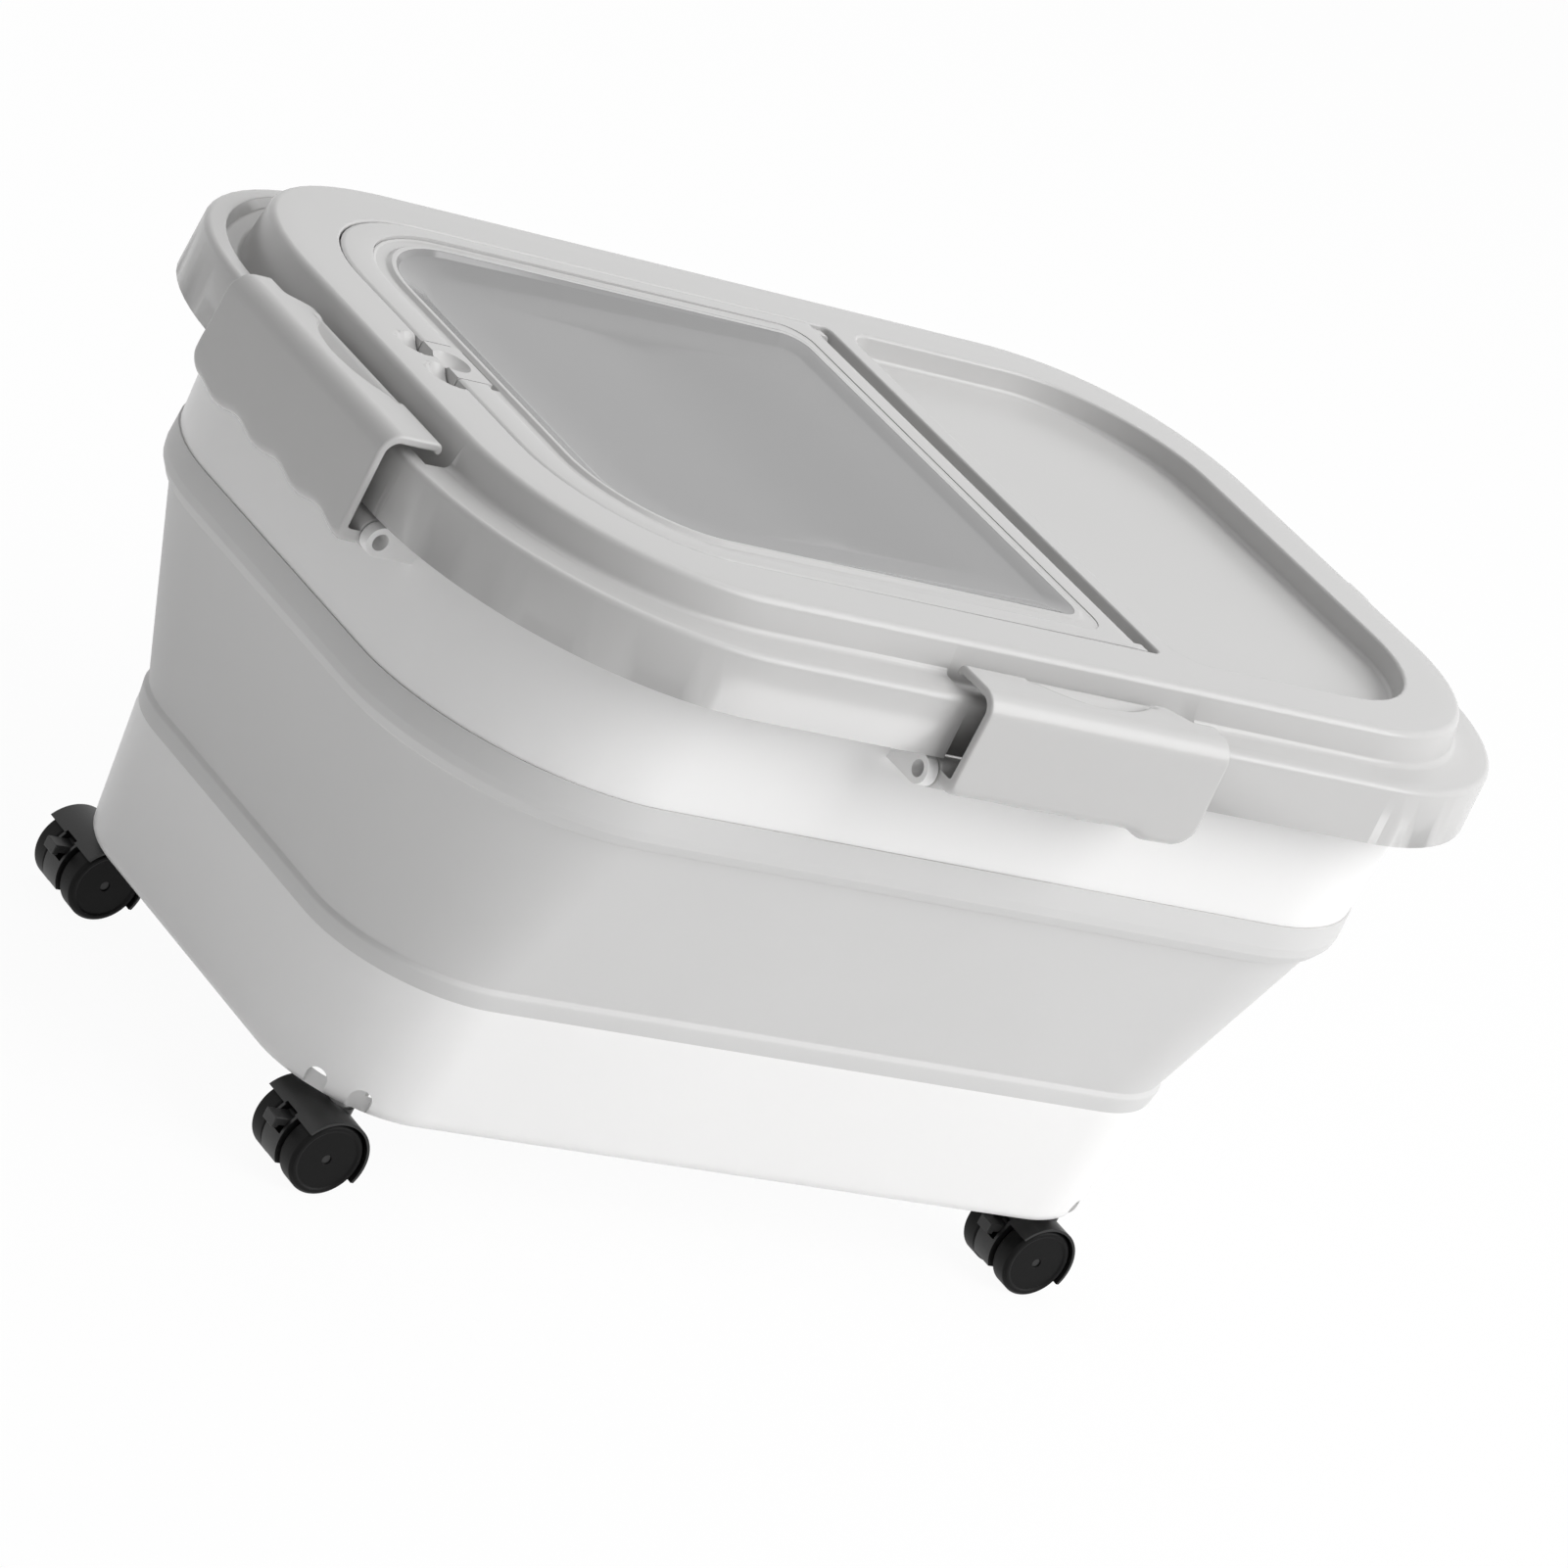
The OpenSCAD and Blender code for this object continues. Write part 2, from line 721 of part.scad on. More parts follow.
centred() base_tray();
centred() folding_band();
centred() upper_ring();
centred() lid_gasket();
centred() lid_frame();
centred() door_frame();
centred() door_window();
centred() door_gasket();
centred() door_catch();
for (k = [0, 1])
  centred() latch(k);
for (i = [0 : 3]) centred() {
  at_caster(i) caster_stem();
  at_caster(i) caster_hood();
  at_caster(i) caster_axle();
  at_caster(i) caster_wheel(-1);
  at_caster(i) caster_wheel(1);
  at_caster(i) caster_brake();
}
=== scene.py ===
import bmesh
import bpy
import json
import math
import numpy as np
from mathutils import Matrix, Vector, geometry


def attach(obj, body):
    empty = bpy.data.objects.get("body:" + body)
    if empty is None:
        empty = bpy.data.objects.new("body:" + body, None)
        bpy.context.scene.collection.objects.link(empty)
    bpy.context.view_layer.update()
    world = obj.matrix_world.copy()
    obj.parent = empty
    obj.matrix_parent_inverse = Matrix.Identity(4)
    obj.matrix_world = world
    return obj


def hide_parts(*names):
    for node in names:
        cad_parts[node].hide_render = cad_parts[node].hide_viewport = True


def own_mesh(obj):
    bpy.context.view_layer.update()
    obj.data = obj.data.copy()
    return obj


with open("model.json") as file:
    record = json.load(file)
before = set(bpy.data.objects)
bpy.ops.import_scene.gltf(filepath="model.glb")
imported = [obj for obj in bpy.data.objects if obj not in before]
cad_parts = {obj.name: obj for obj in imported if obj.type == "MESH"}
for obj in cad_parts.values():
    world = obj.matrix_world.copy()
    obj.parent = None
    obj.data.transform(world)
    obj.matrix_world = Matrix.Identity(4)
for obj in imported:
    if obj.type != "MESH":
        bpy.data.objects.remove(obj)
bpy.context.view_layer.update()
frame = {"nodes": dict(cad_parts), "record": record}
cadNodes = frame["nodes"]
print("frame loaded:", len(cadNodes), "pieces")


class Wire:
    # an output socket; arithmetic on it adds Math nodes
    def __init__(self, sheet, socket):
        self.sheet, self.socket = sheet, socket

    def reckon(self, operation, *values):
        # one Math node on numbers or sockets, in their order
        return self.sheet.node("ShaderNodeMath", {"operation": operation}, dict(enumerate(values)))

    def __add__(self, other):
        return self.reckon("ADD", self, other)

    def __sub__(self, other):
        return self.reckon("SUBTRACT", self, other)

    def __rsub__(self, other):
        return self.reckon("SUBTRACT", other, self)

    def __mul__(self, other):
        return self.reckon("MULTIPLY", self, other)

    __radd__, __rmul__ = __add__, __mul__

    def over(self, low, high):
        # 0 below low, 1 above high, smooth between
        return self.sheet.node("ShaderNodeMapRange", {"interpolation_type": "SMOOTHSTEP"},
                               {"Value": self, "From Min": low, "From Max": high})


class Sheet:
    # a node tree to fill: that of a new material, unless one is given
    def __init__(self, name, tree=None):
        if tree is None:
            self.material = bpy.data.materials.new(name)
            self.material.use_nodes = True
            tree = self.material.node_tree
        self.tree = tree
        self.tree.nodes.clear()

    def node(self, kind, settings=None, values=None, output=0):
        # any node: its settings are set first, then its sockets get their values or links
        made = self.tree.nodes.new(kind)
        for key, value in (settings or {}).items():
            setattr(made, key, value)
        for key, value in (values or {}).items():
            if isinstance(value, Wire):
                self.tree.links.new(value.socket, made.inputs[key])
            else:
                made.inputs[key].default_value = value
        return Wire(self, made.outputs[output]) if len(made.outputs) else None

    def noise(self, scale, detail=2.0):
        # a cloudy pattern fixed to the piece's own coordinates
        place = self.node("ShaderNodeTexCoord", output="Object")
        return self.node("ShaderNodeTexNoise", {}, {"Vector": place, "Scale": scale, "Detail": detail,
                                                    "Roughness": 0.5})

    def blend(self, factor, first, second):
        # mixes two colours; sockets 0, 6 and 7 are the factor and the colours, output 2 the mixed colour
        return self.node("ShaderNodeMix", {"data_type": "RGBA"}, {0: factor, 6: first, 7: second}, output=2)

    def bump(self, height, depth):
        # a normal tilted as if the skin stood up by height times depth, in metres
        return self.node("ShaderNodeBump", {}, {"Height": height, "Distance": depth, "Strength": 1.0})

    def mixShaders(self, factor, first, second):
        # the first shader at 0, the second at 1
        return self.node("ShaderNodeMixShader", {}, {0: factor, 1: first, 2: second})

    def finish(self, values):
        # the values go to the main shader, and that to the output
        shader = self.node("ShaderNodeBsdfPrincipled", {}, values)
        self.node("ShaderNodeOutputMaterial", {}, {"Surface": shader})
        return self.material


def colour(level, warmth=0.0):
    # a grey; warmth is added to its red and taken from its blue
    return (level + warmth, level, level - warmth, 1.0)


# finishes: level and warmth give the colour, shade the darker tone it drifts to, grain and depth the skin
plasticLooks = {
    "whiteShell": {"level": 0.91, "warmth": 0.004, "shade": 0.992, "rough": 0.33, "grain": 420.0, "depth": 2e-6},
    "lidShell": {"level": 0.56, "warmth": 0.004, "shade": 0.988, "rough": 0.25, "grain": 380.0, "depth": 1e-6},
    "windowRim": {"level": 0.55, "warmth": 0.004, "shade": 0.988, "rough": 0.14, "grain": 380.0, "depth": 1e-6},
    "softBand": {"level": 0.67, "warmth": 0.003, "shade": 0.985, "rough": 0.5, "grain": 700.0, "depth": 8e-6},
    "seal": {"level": 0.75, "warmth": 0.0, "shade": 0.94, "rough": 0.6, "grain": 800.0, "depth": 3e-5},
    "casterBlack": {"level": 0.012, "warmth": 0.0, "shade": 0.8, "rough": 0.42, "grain": 1400.0, "depth": 3e-5},
    "wheelBlack": {"level": 0.003, "warmth": 0.0, "shade": 0.8, "rough": 0.5, "grain": 1600.0, "depth": 3e-5,
                   "shine": 0.16},
    "brakeGrey": {"level": 0.025, "warmth": 0.0, "shade": 0.85, "rough": 0.45, "grain": 1400.0, "depth": 3e-5},
}
plasticSkin = {"cloud": 11.0, "from": 0.35, "to": 0.7, "wander": 0.04, "ior": 1.46, "shine": 0.5}
steelLook = {"level": 0.5, "rough": 0.25, "wander": 0.2, "streaks": 700.0, "depth": 2e-5}
windowLook = {"level": 0.42, "shade": 0.94, "rough": 0.12, "wander": 0.05, "clear": 0.42, "ior": 1.49,
              "cloud": 9.0, "grain": 500.0, "depth": 2e-6}


def plastic(name, look):
    # moulded plastic: the colour drifts very slightly, the gloss wanders, and the skin has a faint grain
    sheet, skin = Sheet(name), plasticSkin
    cloud = sheet.noise(skin["cloud"])
    grain = sheet.noise(look["grain"])
    base = sheet.blend(cloud.over(skin["from"], skin["to"]), colour(look["level"], look["warmth"]),
                       colour(look["level"] * look["shade"], look["warmth"]))
    return sheet.finish({"Base Color": base,
                         "Roughness": cloud * skin["wander"] + (look["rough"] - skin["wander"] / 2),
                         "Normal": sheet.bump(grain, look["depth"]), "IOR": skin["ior"],
                         "Specular IOR Level": look.get("shine", skin["shine"])})


def brushedSteel(name, look):
    # bare metal with fine streaks in its gloss
    sheet = Sheet(name)
    streak = sheet.noise(look["streaks"], 4.0)
    return sheet.finish({"Base Color": colour(look["level"]), "Metallic": 1.0,
                         "Roughness": streak * look["wander"] + look["rough"],
                         "Normal": sheet.bump(streak, look["depth"])})


def smokyPane(name, look):
    # tinted clear moulding: mostly milky grey, glossy on top
    sheet = Sheet(name)
    cloud = sheet.noise(look["cloud"])
    base = sheet.blend(cloud, colour(look["level"]), colour(look["level"] * look["shade"]))
    return sheet.finish({"Base Color": base, "Roughness": cloud * look["wander"] + look["rough"],
                         "Transmission Weight": look["clear"], "IOR": look["ior"],
                         "Normal": sheet.bump(sheet.noise(look["grain"]), look["depth"])})


finishes = {name: plastic(name, look) for name, look in plasticLooks.items()}
finishes["steel"] = brushedSteel("steel", steelLook)
finishes["window"] = smokyPane("window", windowLook)
slotFinish = {"white_shell": "whiteShell", "soft_band": "softBand", "seal": "seal", "lid_shell": "lidShell",
              "window": "window", "caster_black": "casterBlack", "wheel_black": "wheelBlack",
              "brake_grey": "brakeGrey", "steel": "steel"}
for part in frame["record"]["subparts"]:
    carried = cadNodes[part["node"]]
    carried.data.materials.clear()
    finish = "casterBlack" if part["node"].endswith("_axle") else slotFinish[part["material_slot"]]  # blackened
    carried.data.materials.append(finishes[finish])
print("finishes on every CAD piece")


# curves and surfaces; drawings are in mm, meshes in metres
shift = 0.0045  # the latches stand on two sides only, so the bin sits this far from the middle of its box
binPlan = {"cornerX": 124.0, "cornerY": 50.5, "cornerSteps": 20, "loopSteps": 14}


def placed(points):
    # moves a drawing about the bin's own middle into the frame
    return points + np.array([shift, shift, 0.0])


def drawn(points):
    # x and y in mm about the bin's own middle: the way back from placed
    return (points[..., 0] - shift) * 1000, (points[..., 1] - shift) * 1000


def easeIn(t):
    # 3 t squared minus 2 t cubed, level at 0 and at 1
    t = np.clip(t, 0, 1)
    return t * t * (3 - 2 * t)


def unit(v):
    # v divided by its own length
    return v / np.maximum(np.linalg.norm(v, axis=-1, keepdims=True), 1e-12)


def filletPath(corners, radii, steps):
    # a polyline in mm whose inner corners become arcs: the arc's centre lies on the corner's bisector,
    # and its points turn evenly from one tangent point to the other
    p = np.asarray(corners, float)
    r = np.asarray(radii, float)[:, None]
    back, ahead = unit(p[:-2] - p[1:-1]), unit(p[2:] - p[1:-1])
    half = np.arccos(np.clip((back * ahead).sum(1, keepdims=True), -0.99999, 0.99999)) / 2
    centre = p[1:-1] + unit(back + ahead) * r / np.sin(half)
    first = (p[1:-1] + back * r / np.tan(half) - centre)[:, None]
    last = (p[1:-1] + ahead * r / np.tan(half) - centre)[:, None]
    turn = (math.pi - 2 * half)[:, None]
    t = np.linspace(0, 1, steps + 1)[None, :, None]
    arcs = centre[:, None] + (np.sin((1 - t) * turn) * first + np.sin(t * turn) * last) / np.sin(turn)
    return np.concatenate([p[:1], arcs.reshape(-1, 2), p[-1:]])


def closedFillets(corners, radii, steps):
    # the same for a closed outline: it starts in the middle of its last edge
    p = np.asarray(corners, float)
    start = (p[0] + p[-1])[None] / 2
    return filletPath(np.concatenate([start, p, start]), radii, steps)[:-1]


def roundedRows(stations, radii, steps):
    # stations are rows of (distance, height, other numbers): the polyline of the first two is filleted,
    # and the others follow by the length walked to the nearest point of that polyline
    stations = np.asarray(stations, float)
    flat = filletPath(stations[:, :2], radii, steps)
    a, b = stations[:-1, :2], stations[1:, :2]
    walk = np.concatenate([[0], np.cumsum(np.linalg.norm(b - a, axis=1))])
    along = np.clip(((flat[:, None] - a) * (b - a)).sum(-1) / ((b - a) ** 2).sum(-1), 0, 1)
    gap = np.linalg.norm(a + along[..., None] * (b - a) - flat[:, None], axis=-1)
    k = np.argmin(gap, axis=1)
    walked = walk[k] + along[np.arange(len(k)), k] * (walk[k + 1] - walk[k])
    walked = np.maximum.accumulate(walked)
    others = [np.interp(walked, walk, stations[:, c]) for c in range(2, stations.shape[1])]
    return np.column_stack([flat] + others)


def planPath(longStops=(0.0,), extraTurns=()):
    # corner centre and direction of every column round the bin, anticlockwise from the +X side:
    # along the straight sides the centre travels and the direction stands still
    x, y, n = binPlan["cornerX"], binPlan["cornerY"], binPlan["cornerSteps"]
    quarter = np.sort(np.concatenate([np.linspace(0, math.pi / 2, n + 1), np.radians(extraTurns)]))
    longs, short = np.asarray(longStops, float), np.zeros(1)
    cx = np.concatenate([short + x, 0 * quarter + x, -longs, 0 * quarter - x,
                         short - x, 0 * quarter - x, longs, 0 * quarter + x])
    cy = np.concatenate([short, 0 * quarter + y, 0 * longs + y, 0 * quarter + y,
                         short, 0 * quarter - y, 0 * longs - y, 0 * quarter - y])
    angle = np.concatenate([short, quarter, 0 * longs + math.pi / 2, quarter + math.pi / 2,
                            short + math.pi, quarter + math.pi, 0 * longs + 1.5 * math.pi,
                            quarter + 1.5 * math.pi])
    return cx, cy, angle


def carry(profile, path):
    # a profile of (radius, height), the same or one for each column, carried round the path
    cx, cy, angle = path
    section = np.asarray(profile, float)
    if section.ndim == 2:
        section = np.repeat(section[:, None], len(cx), 1)
    r, z = section[..., 0], section[..., 1]
    return np.stack([cx + r * np.cos(angle), cy + r * np.sin(angle), z], -1) / 1000


def cornerLoops(left, right, half, leftRadius, rightRadius, height, leftStops=()):
    # rounded rectangles, one per row: straight sides at left, right and +-half, a radius for each end
    left, right, half, leftRadius, rightRadius, height = (
        a[:, None] for a in np.broadcast_arrays(*(np.atleast_1d(np.asarray(v, float)) for v in
                                                  (left, right, half, leftRadius, rightRadius, height))))
    quarter = np.linspace(0, math.pi / 2, binPlan["loopSteps"] + 1)[None]
    parts = []
    for turn, end, side, radius in ((0, right, half, rightRadius), (1, left, half, leftRadius),
                                    (2, left, -half, leftRadius), (3, right, -half, rightRadius)):
        a = quarter + turn * math.pi / 2
        x = end + radius * (np.cos(a) - (1 if turn in (0, 3) else -1))
        y = side + radius * (np.sin(a) - (1 if turn in (0, 1) else -1))
        parts.append(np.stack([x, y, height + 0 * a], -1))
        if turn == 1 and len(leftStops):
            y = np.asarray(leftStops, float)[None] + 0 * height
            parts.append(np.stack([left + 0 * y, y, height + 0 * y], -1))
    return np.concatenate(parts, 1) / 1000


def inside(points, loop):
    # even-odd test of many points against one closed outline, as whole arrays
    x, y = points[:, 0][:, None], points[:, 1][:, None]
    x1, y1 = loop[:, 0][None], loop[:, 1][None]
    x2, y2 = np.roll(x1, -1, 1), np.roll(y1, -1, 1)
    crosses = (y1 > y) != (y2 > y)
    at = x1 + (y - y1) / np.where(np.abs(y2 - y1) < 1e-12, 1e-12, y2 - y1) * (x2 - x1)
    return (crosses & (x < at)).sum(1) % 2 == 1


def sprinkle(xs, ys):
    # a grid of points on a level face, where it needs more detail than its outline gives
    x, y = np.meshgrid(xs, ys)
    return np.stack([x.ravel(), y.ravel()], 1) / 1000 + shift


def flatFaces(outer, holes, extra, height):
    # a level face between an outline and its holes, with extra points for detail, as vertices and triangles
    points, edges, start = [], [], 0
    for loop in [outer] + list(holes):
        n = len(loop)
        points += [Vector(p) for p in loop[:, :2].tolist()]
        edges += [(start + i, start + (i + 1) % n) for i in range(n)]
        start += n
    points += [Vector(p) for p in extra.tolist()]
    found = geometry.delaunay_2d_cdt(points, edges, [], 0, 1e-7)
    corners = np.array([list(p) for p in found[0]])
    faces = np.array([list(f) for f in found[2]])
    middle = corners[faces].mean(1)
    keep = inside(middle, outer)
    for hole in holes:
        keep &= ~inside(middle, hole)
    level = np.full((len(corners), 1), height)
    return np.concatenate([corners, level], 1), faces[keep]


def gridFaces(rows, columns, loopAround=True, loopAlong=False):
    # quads of a grid of points; loopAround closes the columns, loopAlong the rows
    i = np.arange(rows if loopAlong else rows - 1)[:, None]
    j = np.arange(columns if loopAround else columns - 1)[None, :]
    i2, j2 = (i + 1) % rows, (j + 1) % columns
    corners = [i * columns + j, i * columns + j2, i2 * columns + j2, i2 * columns + j]
    return np.stack([np.broadcast_to(c, (i.size, j.size)) for c in corners], -1).reshape(-1, 4)


def meshOf(name, parts):
    # each part is its vertices and one or more arrays of faces
    points, faces, start = [], [], 0
    for vertices, *groups in parts:
        points.append(np.asarray(vertices, float).reshape(-1, 3))
        for group in groups:
            faces += (np.asarray(group) + start).tolist()
        start += len(points[-1])
    mesh = bpy.data.meshes.new(name)
    mesh.from_pydata(np.concatenate(points).tolist(), [], faces)
    return mesh


def meshFrom(name, points, **loops):
    # a grid of points (rows, columns, 3) as a mesh of quads
    return meshOf(name, [(points, gridFaces(*points.shape[:2], **loops))])


def prism(outline, first, last):
    # a flat outline of x and z carried straight from y = first to y = last: closed, with level ends
    flat = np.asarray(outline, float)
    n = len(flat)
    ends = [np.column_stack([flat[:, 0], np.full(n, y), flat[:, 1]]) for y in (first, last)]
    i = np.arange(n)
    sides = np.stack([i, (i + 1) % n, (i + 1) % n + n, i + n], 1)
    return placed(np.concatenate(ends) / 1000), sides, np.stack([i[::-1], i + n])


def ringOf(centre, radius, count=24):
    # a circle: the centre plus the radius times cosine and sine of even turns
    a = np.linspace(0, 2 * math.pi, count, endpoint=False)
    return np.stack([centre[0] + radius * np.cos(a), centre[1] + radius * np.sin(a)], 1)


# meshes into pieces: gaps in metres, angles in degrees
edgeLook = {"weldGap": 2e-6, "copyGap": 1e-5, "levelWithin": 0.8, "rimAngle": 50, "rimSegments": 3,
            "bevelAngle": 35}


def remade(mesh, change):
    # runs change on an editable copy, smooths every face and writes the mesh back
    work = bmesh.new()
    work.from_mesh(mesh)
    change(work)
    for face in work.faces:
        face.smooth = True
    work.to_mesh(mesh)
    work.free()
    return mesh


def evened(work):
    # turns neighbouring faces the same way
    bmesh.ops.recalc_face_normals(work, faces=work.faces)


def welded(mesh, sharpAngle=50):
    # merges doubles and keeps the edges crisp where two faces meet at more than the sharp angle
    def change(work):
        bmesh.ops.remove_doubles(work, verts=work.verts, dist=edgeLook["weldGap"])
        evened(work)
        for edge in work.edges:
            edge.smooth = len(edge.link_faces) != 2 or edge.calc_face_angle(0) < math.radians(sharpAngle)
    return remade(mesh, change)


def outward(mesh, closed=False):
    # an open skin faces up where its level faces are largest, and a closed one away from its middle:
    # the sum of area times normal, along Z or along the face's own place, comes out positive
    normals, middles, areas = (np.zeros(len(mesh.polygons) * size) for size in (3, 3, 1))
    mesh.polygons.foreach_get("normal", normals)
    mesh.polygons.foreach_get("center", middles)
    mesh.polygons.foreach_get("area", areas)
    along = (normals * middles).reshape(-1, 3).sum(1) if closed else normals.reshape(-1, 3)[:, 2]
    if (along * areas).sum() < 0:
        mesh.flip_normals()


def newPiece(name, mesh, body, slot, node, finish=None):
    # a piece that rides on a body, fills a material slot and stands in for a CAD node
    piece = bpy.data.objects.new(name, mesh)
    bpy.context.scene.collection.objects.link(piece)
    mesh.materials.append(finishes[finish or slotFinish[slot]])
    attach(piece, body)
    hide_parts(node)
    return piece


def thicken(piece, wall, rounding=0.0):
    # a wall inwards of the drawn skin, then rounded rims, both in mm
    solid = piece.modifiers.new("wall", "SOLIDIFY")
    solid.thickness, solid.offset, solid.use_even_offset = wall / 1000, -1.0, False
    if rounding:
        bevel = piece.modifiers.new("rims", "BEVEL")
        bevel.width, bevel.segments, bevel.limit_method = rounding / 1000, edgeLook["rimSegments"], "ANGLE"
        bevel.angle_limit, bevel.harden_normals = math.radians(edgeLook["rimAngle"]), False


def roundEdges(piece, width, segments):
    # rounds every crisp edge, with a width in mm, and evens the shading of the level faces
    bevel = piece.modifiers.new("edges", "BEVEL")
    bevel.width, bevel.segments, bevel.limit_method = width / 1000, segments, "ANGLE"
    bevel.angle_limit, bevel.use_clamp_overlap = math.radians(edgeLook["bevelAngle"]), True
    bevel.miter_outer = "MITER_ARC"
    level = piece.modifiers.new("level", "WEIGHTED_NORMAL")
    level.keep_sharp = False


def softCopy(name, node, body, slot, width, segments=3):
    # the CAD piece's own mesh, merged, with its level facets joined and its edges rounded
    def change(work):
        gap, level = edgeLook["copyGap"], math.radians(edgeLook["levelWithin"])
        bmesh.ops.remove_doubles(work, verts=work.verts, dist=gap)
        bmesh.ops.dissolve_degenerate(work, edges=work.edges, dist=gap)
        bmesh.ops.dissolve_limit(work, angle_limit=level, verts=work.verts, edges=work.edges)
    mesh = cadNodes[node].data.copy()
    mesh.name = name
    mesh.materials.clear()
    roundEdges(newPiece(name, remade(mesh, change), body, slot, node), width, segments)


# folding band: its profile of radius and height is the outer face, from the tray joint to the ring joint:
# bead, crease, sloping wall, crease, bead; it is raised mm tall, and folded mm when the bin is collapsed
bandLook = {"profile": [(45.0, 74.0), (45.8, 79.6), (44.7, 81.2), (45.6, 83.4), (67.2, 146.2), (69.3, 147.3),
                        (71.6, 150.8), (72.0, 154.0), (71.6, 162.0)],
            "radii": [1.4, 0.6, 1.4, 0.9, 0.9, 1.6, 2.0], "steps": 4, "wall": 2.2, "round": 0.4,
            "raised": 88, "folded": 28}


def foldingBand():
    # the rounded profile carried round the plan
    look = bandLook
    face = filletPath(look["profile"], look["radii"], look["steps"])
    mesh = welded(meshFrom("foldingBand", placed(carry(face, planPath()))))
    if mesh.polygons[0].normal.dot(mesh.polygons[0].center) < 0:
        mesh.flip_normals()
    piece = newPiece("foldingBand", mesh, "tub", "soft_band", "folding_band")
    thicken(piece, look["wall"], look["round"])
    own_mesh(piece)


foldingBand()
print("folding band done")


# lid: radii of the plan and heights; stops and turns are the places of columns where the skin changes quickly
lidLook = {"deck": 235.0, "flange": 224.0, "skirtFoot": 204.0, "wall": 2.2, "round": 0.5, "innerEdge": 64.0,
           "deckEdge": 72.2, "wallFoot": 74.4, "flangeFrom": 79.0, "flangeTo": 83.0, "rim": 88.7, "rimDrop": 0.1,
           "skirt": 89.5, "radii": [2.6, 2.4, 0.4, 0.4, 2.2],
           "longStops": [-53.0, -52.4, -51.9, -51.8, 40.0, 40.1, 47.4, 48.0],
           "turns": [0.6, 1.2, 1.8, 2.2, 2.5, 2.7], "square": 2.5, "setBack": 3.2, "setBackSpan": (-51.85, 40.05),
           "setBackTop": 221.5, "setBackEase": 0.5}
grooveLook = {"floor": 216.5, "inner": 74.6, "outer": 81.2, "top": 81.6, "radii": [2.6, 1.6, 1.6, 1.4, 2.2],
              "nearEnd": 2.7, "fadeEnd": 78.0, "fadeOver": 50.0, "shareB": 0.36, "middleB": -2.5, "halfB": 50.0}
holeLook = {"left": -175.5, "right": 44.9, "half": 102.0, "leftRadius": 51.5, "rightRadius": 3.0,
            "ledge": 9.0, "ledgeTop": 226.0, "ledgeFoot": 224.0, "ledgeRight": 27.3, "ledgeRadius": 8.0,
            "leastRadius": 0.4, "lead": 0.9, "radii": [0.8, 0.5, 0.3]}
panelLook = {"left": 53.0, "right": 176.0, "half": 102.5, "leftRadius": 12.0, "rightRadius": 52.0,
             "floor": 227.0, "lead": 1.6, "draft": 0.2, "margin": 6.0, "radii": [1.1, 1.5]}
catchScoops = {"centres": ((-178.2, 8.0), (-178.2, -11.0)), "radius": 8.5, "rise": 4.0,
               "xs": np.arange(-187.5, -174.0, 0.75), "ys": np.arange(-22.0, 20.0, 0.75)}
catchStops = np.round(np.concatenate([np.arange(24, 12, -1.0), [12.0, 11.6, 11.5], np.arange(11, -11.5, -1.0),
                                      [-11.5, -11.6, -12.0], np.arange(-13, -25, -1.0)]), 3)


def onSideB(angle):
    # true on the straight side that faces -Y, at three quarters of a turn
    return np.abs(angle - 1.5 * math.pi) < 1e-6


def grooveShare(cx, cy, angle):
    # 1 all along side a; it stops in a round end just past the latch, and fades out round the far corner
    look = grooveLook
    away = np.degrees(angle - math.pi)
    near = np.sqrt(np.clip(1 - (away / look["nearEnd"]) ** 2, 0, 1))
    share = np.where(away > 0, near, easeIn((look["fadeEnd"] + away) / look["fadeOver"]))
    nearLatch = onSideB(angle) & (np.abs(cx - look["middleB"]) < look["halfB"])
    return np.where(nearLatch, look["shareB"], share)


def latchShare(cx, cy, angle):
    # 1 where latch b covers the skirt, which is set back there
    low, high = lidLook["setBackSpan"]
    return np.where(onSideB(angle) & (cx > low) & (cx < high), 1.0, 0.0)


def squareShare(angle):
    # the two far corners stand out a little more than a quarter circle does: sine of the double angle, squared
    return np.where(np.sin(angle) > 1e-6, np.sin(2 * angle) ** 2, 0.0)


def lidSkin():
    # deck, wall, flange and skirt: the plain section and the grooved one, mixed by grooveShare
    look, groove = lidLook, grooveLook
    first = [(look["innerEdge"], look["deck"]), (look["deckEdge"], look["deck"])]
    rimTop = look["flange"] - look["rimDrop"]
    last = [(look["rim"], rimTop), (look["skirt"], look["skirtFoot"])]
    plain = first + [(look[key], look["flange"]) for key in ("wallFoot", "flangeFrom", "flangeTo")] + last
    grooved = first + [(groove["inner"], groove["floor"]), (groove["outer"], groove["floor"]),
                       (groove["top"], rimTop)] + last
    plainRows, grooveRows = filletPath(plain, look["radii"], 7), filletPath(grooved, groove["radii"], 7)
    path = planPath(look["longStops"], look["turns"])
    share = grooveShare(*path)[None, :, None]
    rows = plainRows[:, None] * (1 - share) + grooveRows[:, None] * share
    onSkirt = rows[..., 0] > look["flangeTo"] + 1
    low = np.clip((look["setBackTop"] - rows[..., 1]) / look["setBackEase"], 0, 1) * onSkirt
    rows[..., 0] -= look["setBack"] * low * latchShare(*path)[None]
    rows[1:, :, 0] += look["square"] * squareShare(path[2])[None]
    return placed(carry(rows, path))


def scoopDepth(x, y):
    # how far two ball-shaped scoops beside the catch reach below the deck
    depth = np.zeros_like(x)
    for cx, cy in catchScoops["centres"]:
        ball = catchScoops["radius"] ** 2 - (x - cx) ** 2 - (y - cy) ** 2
        depth = np.maximum(depth, np.sqrt(np.maximum(ball, 0)) - catchScoops["rise"])
    return depth


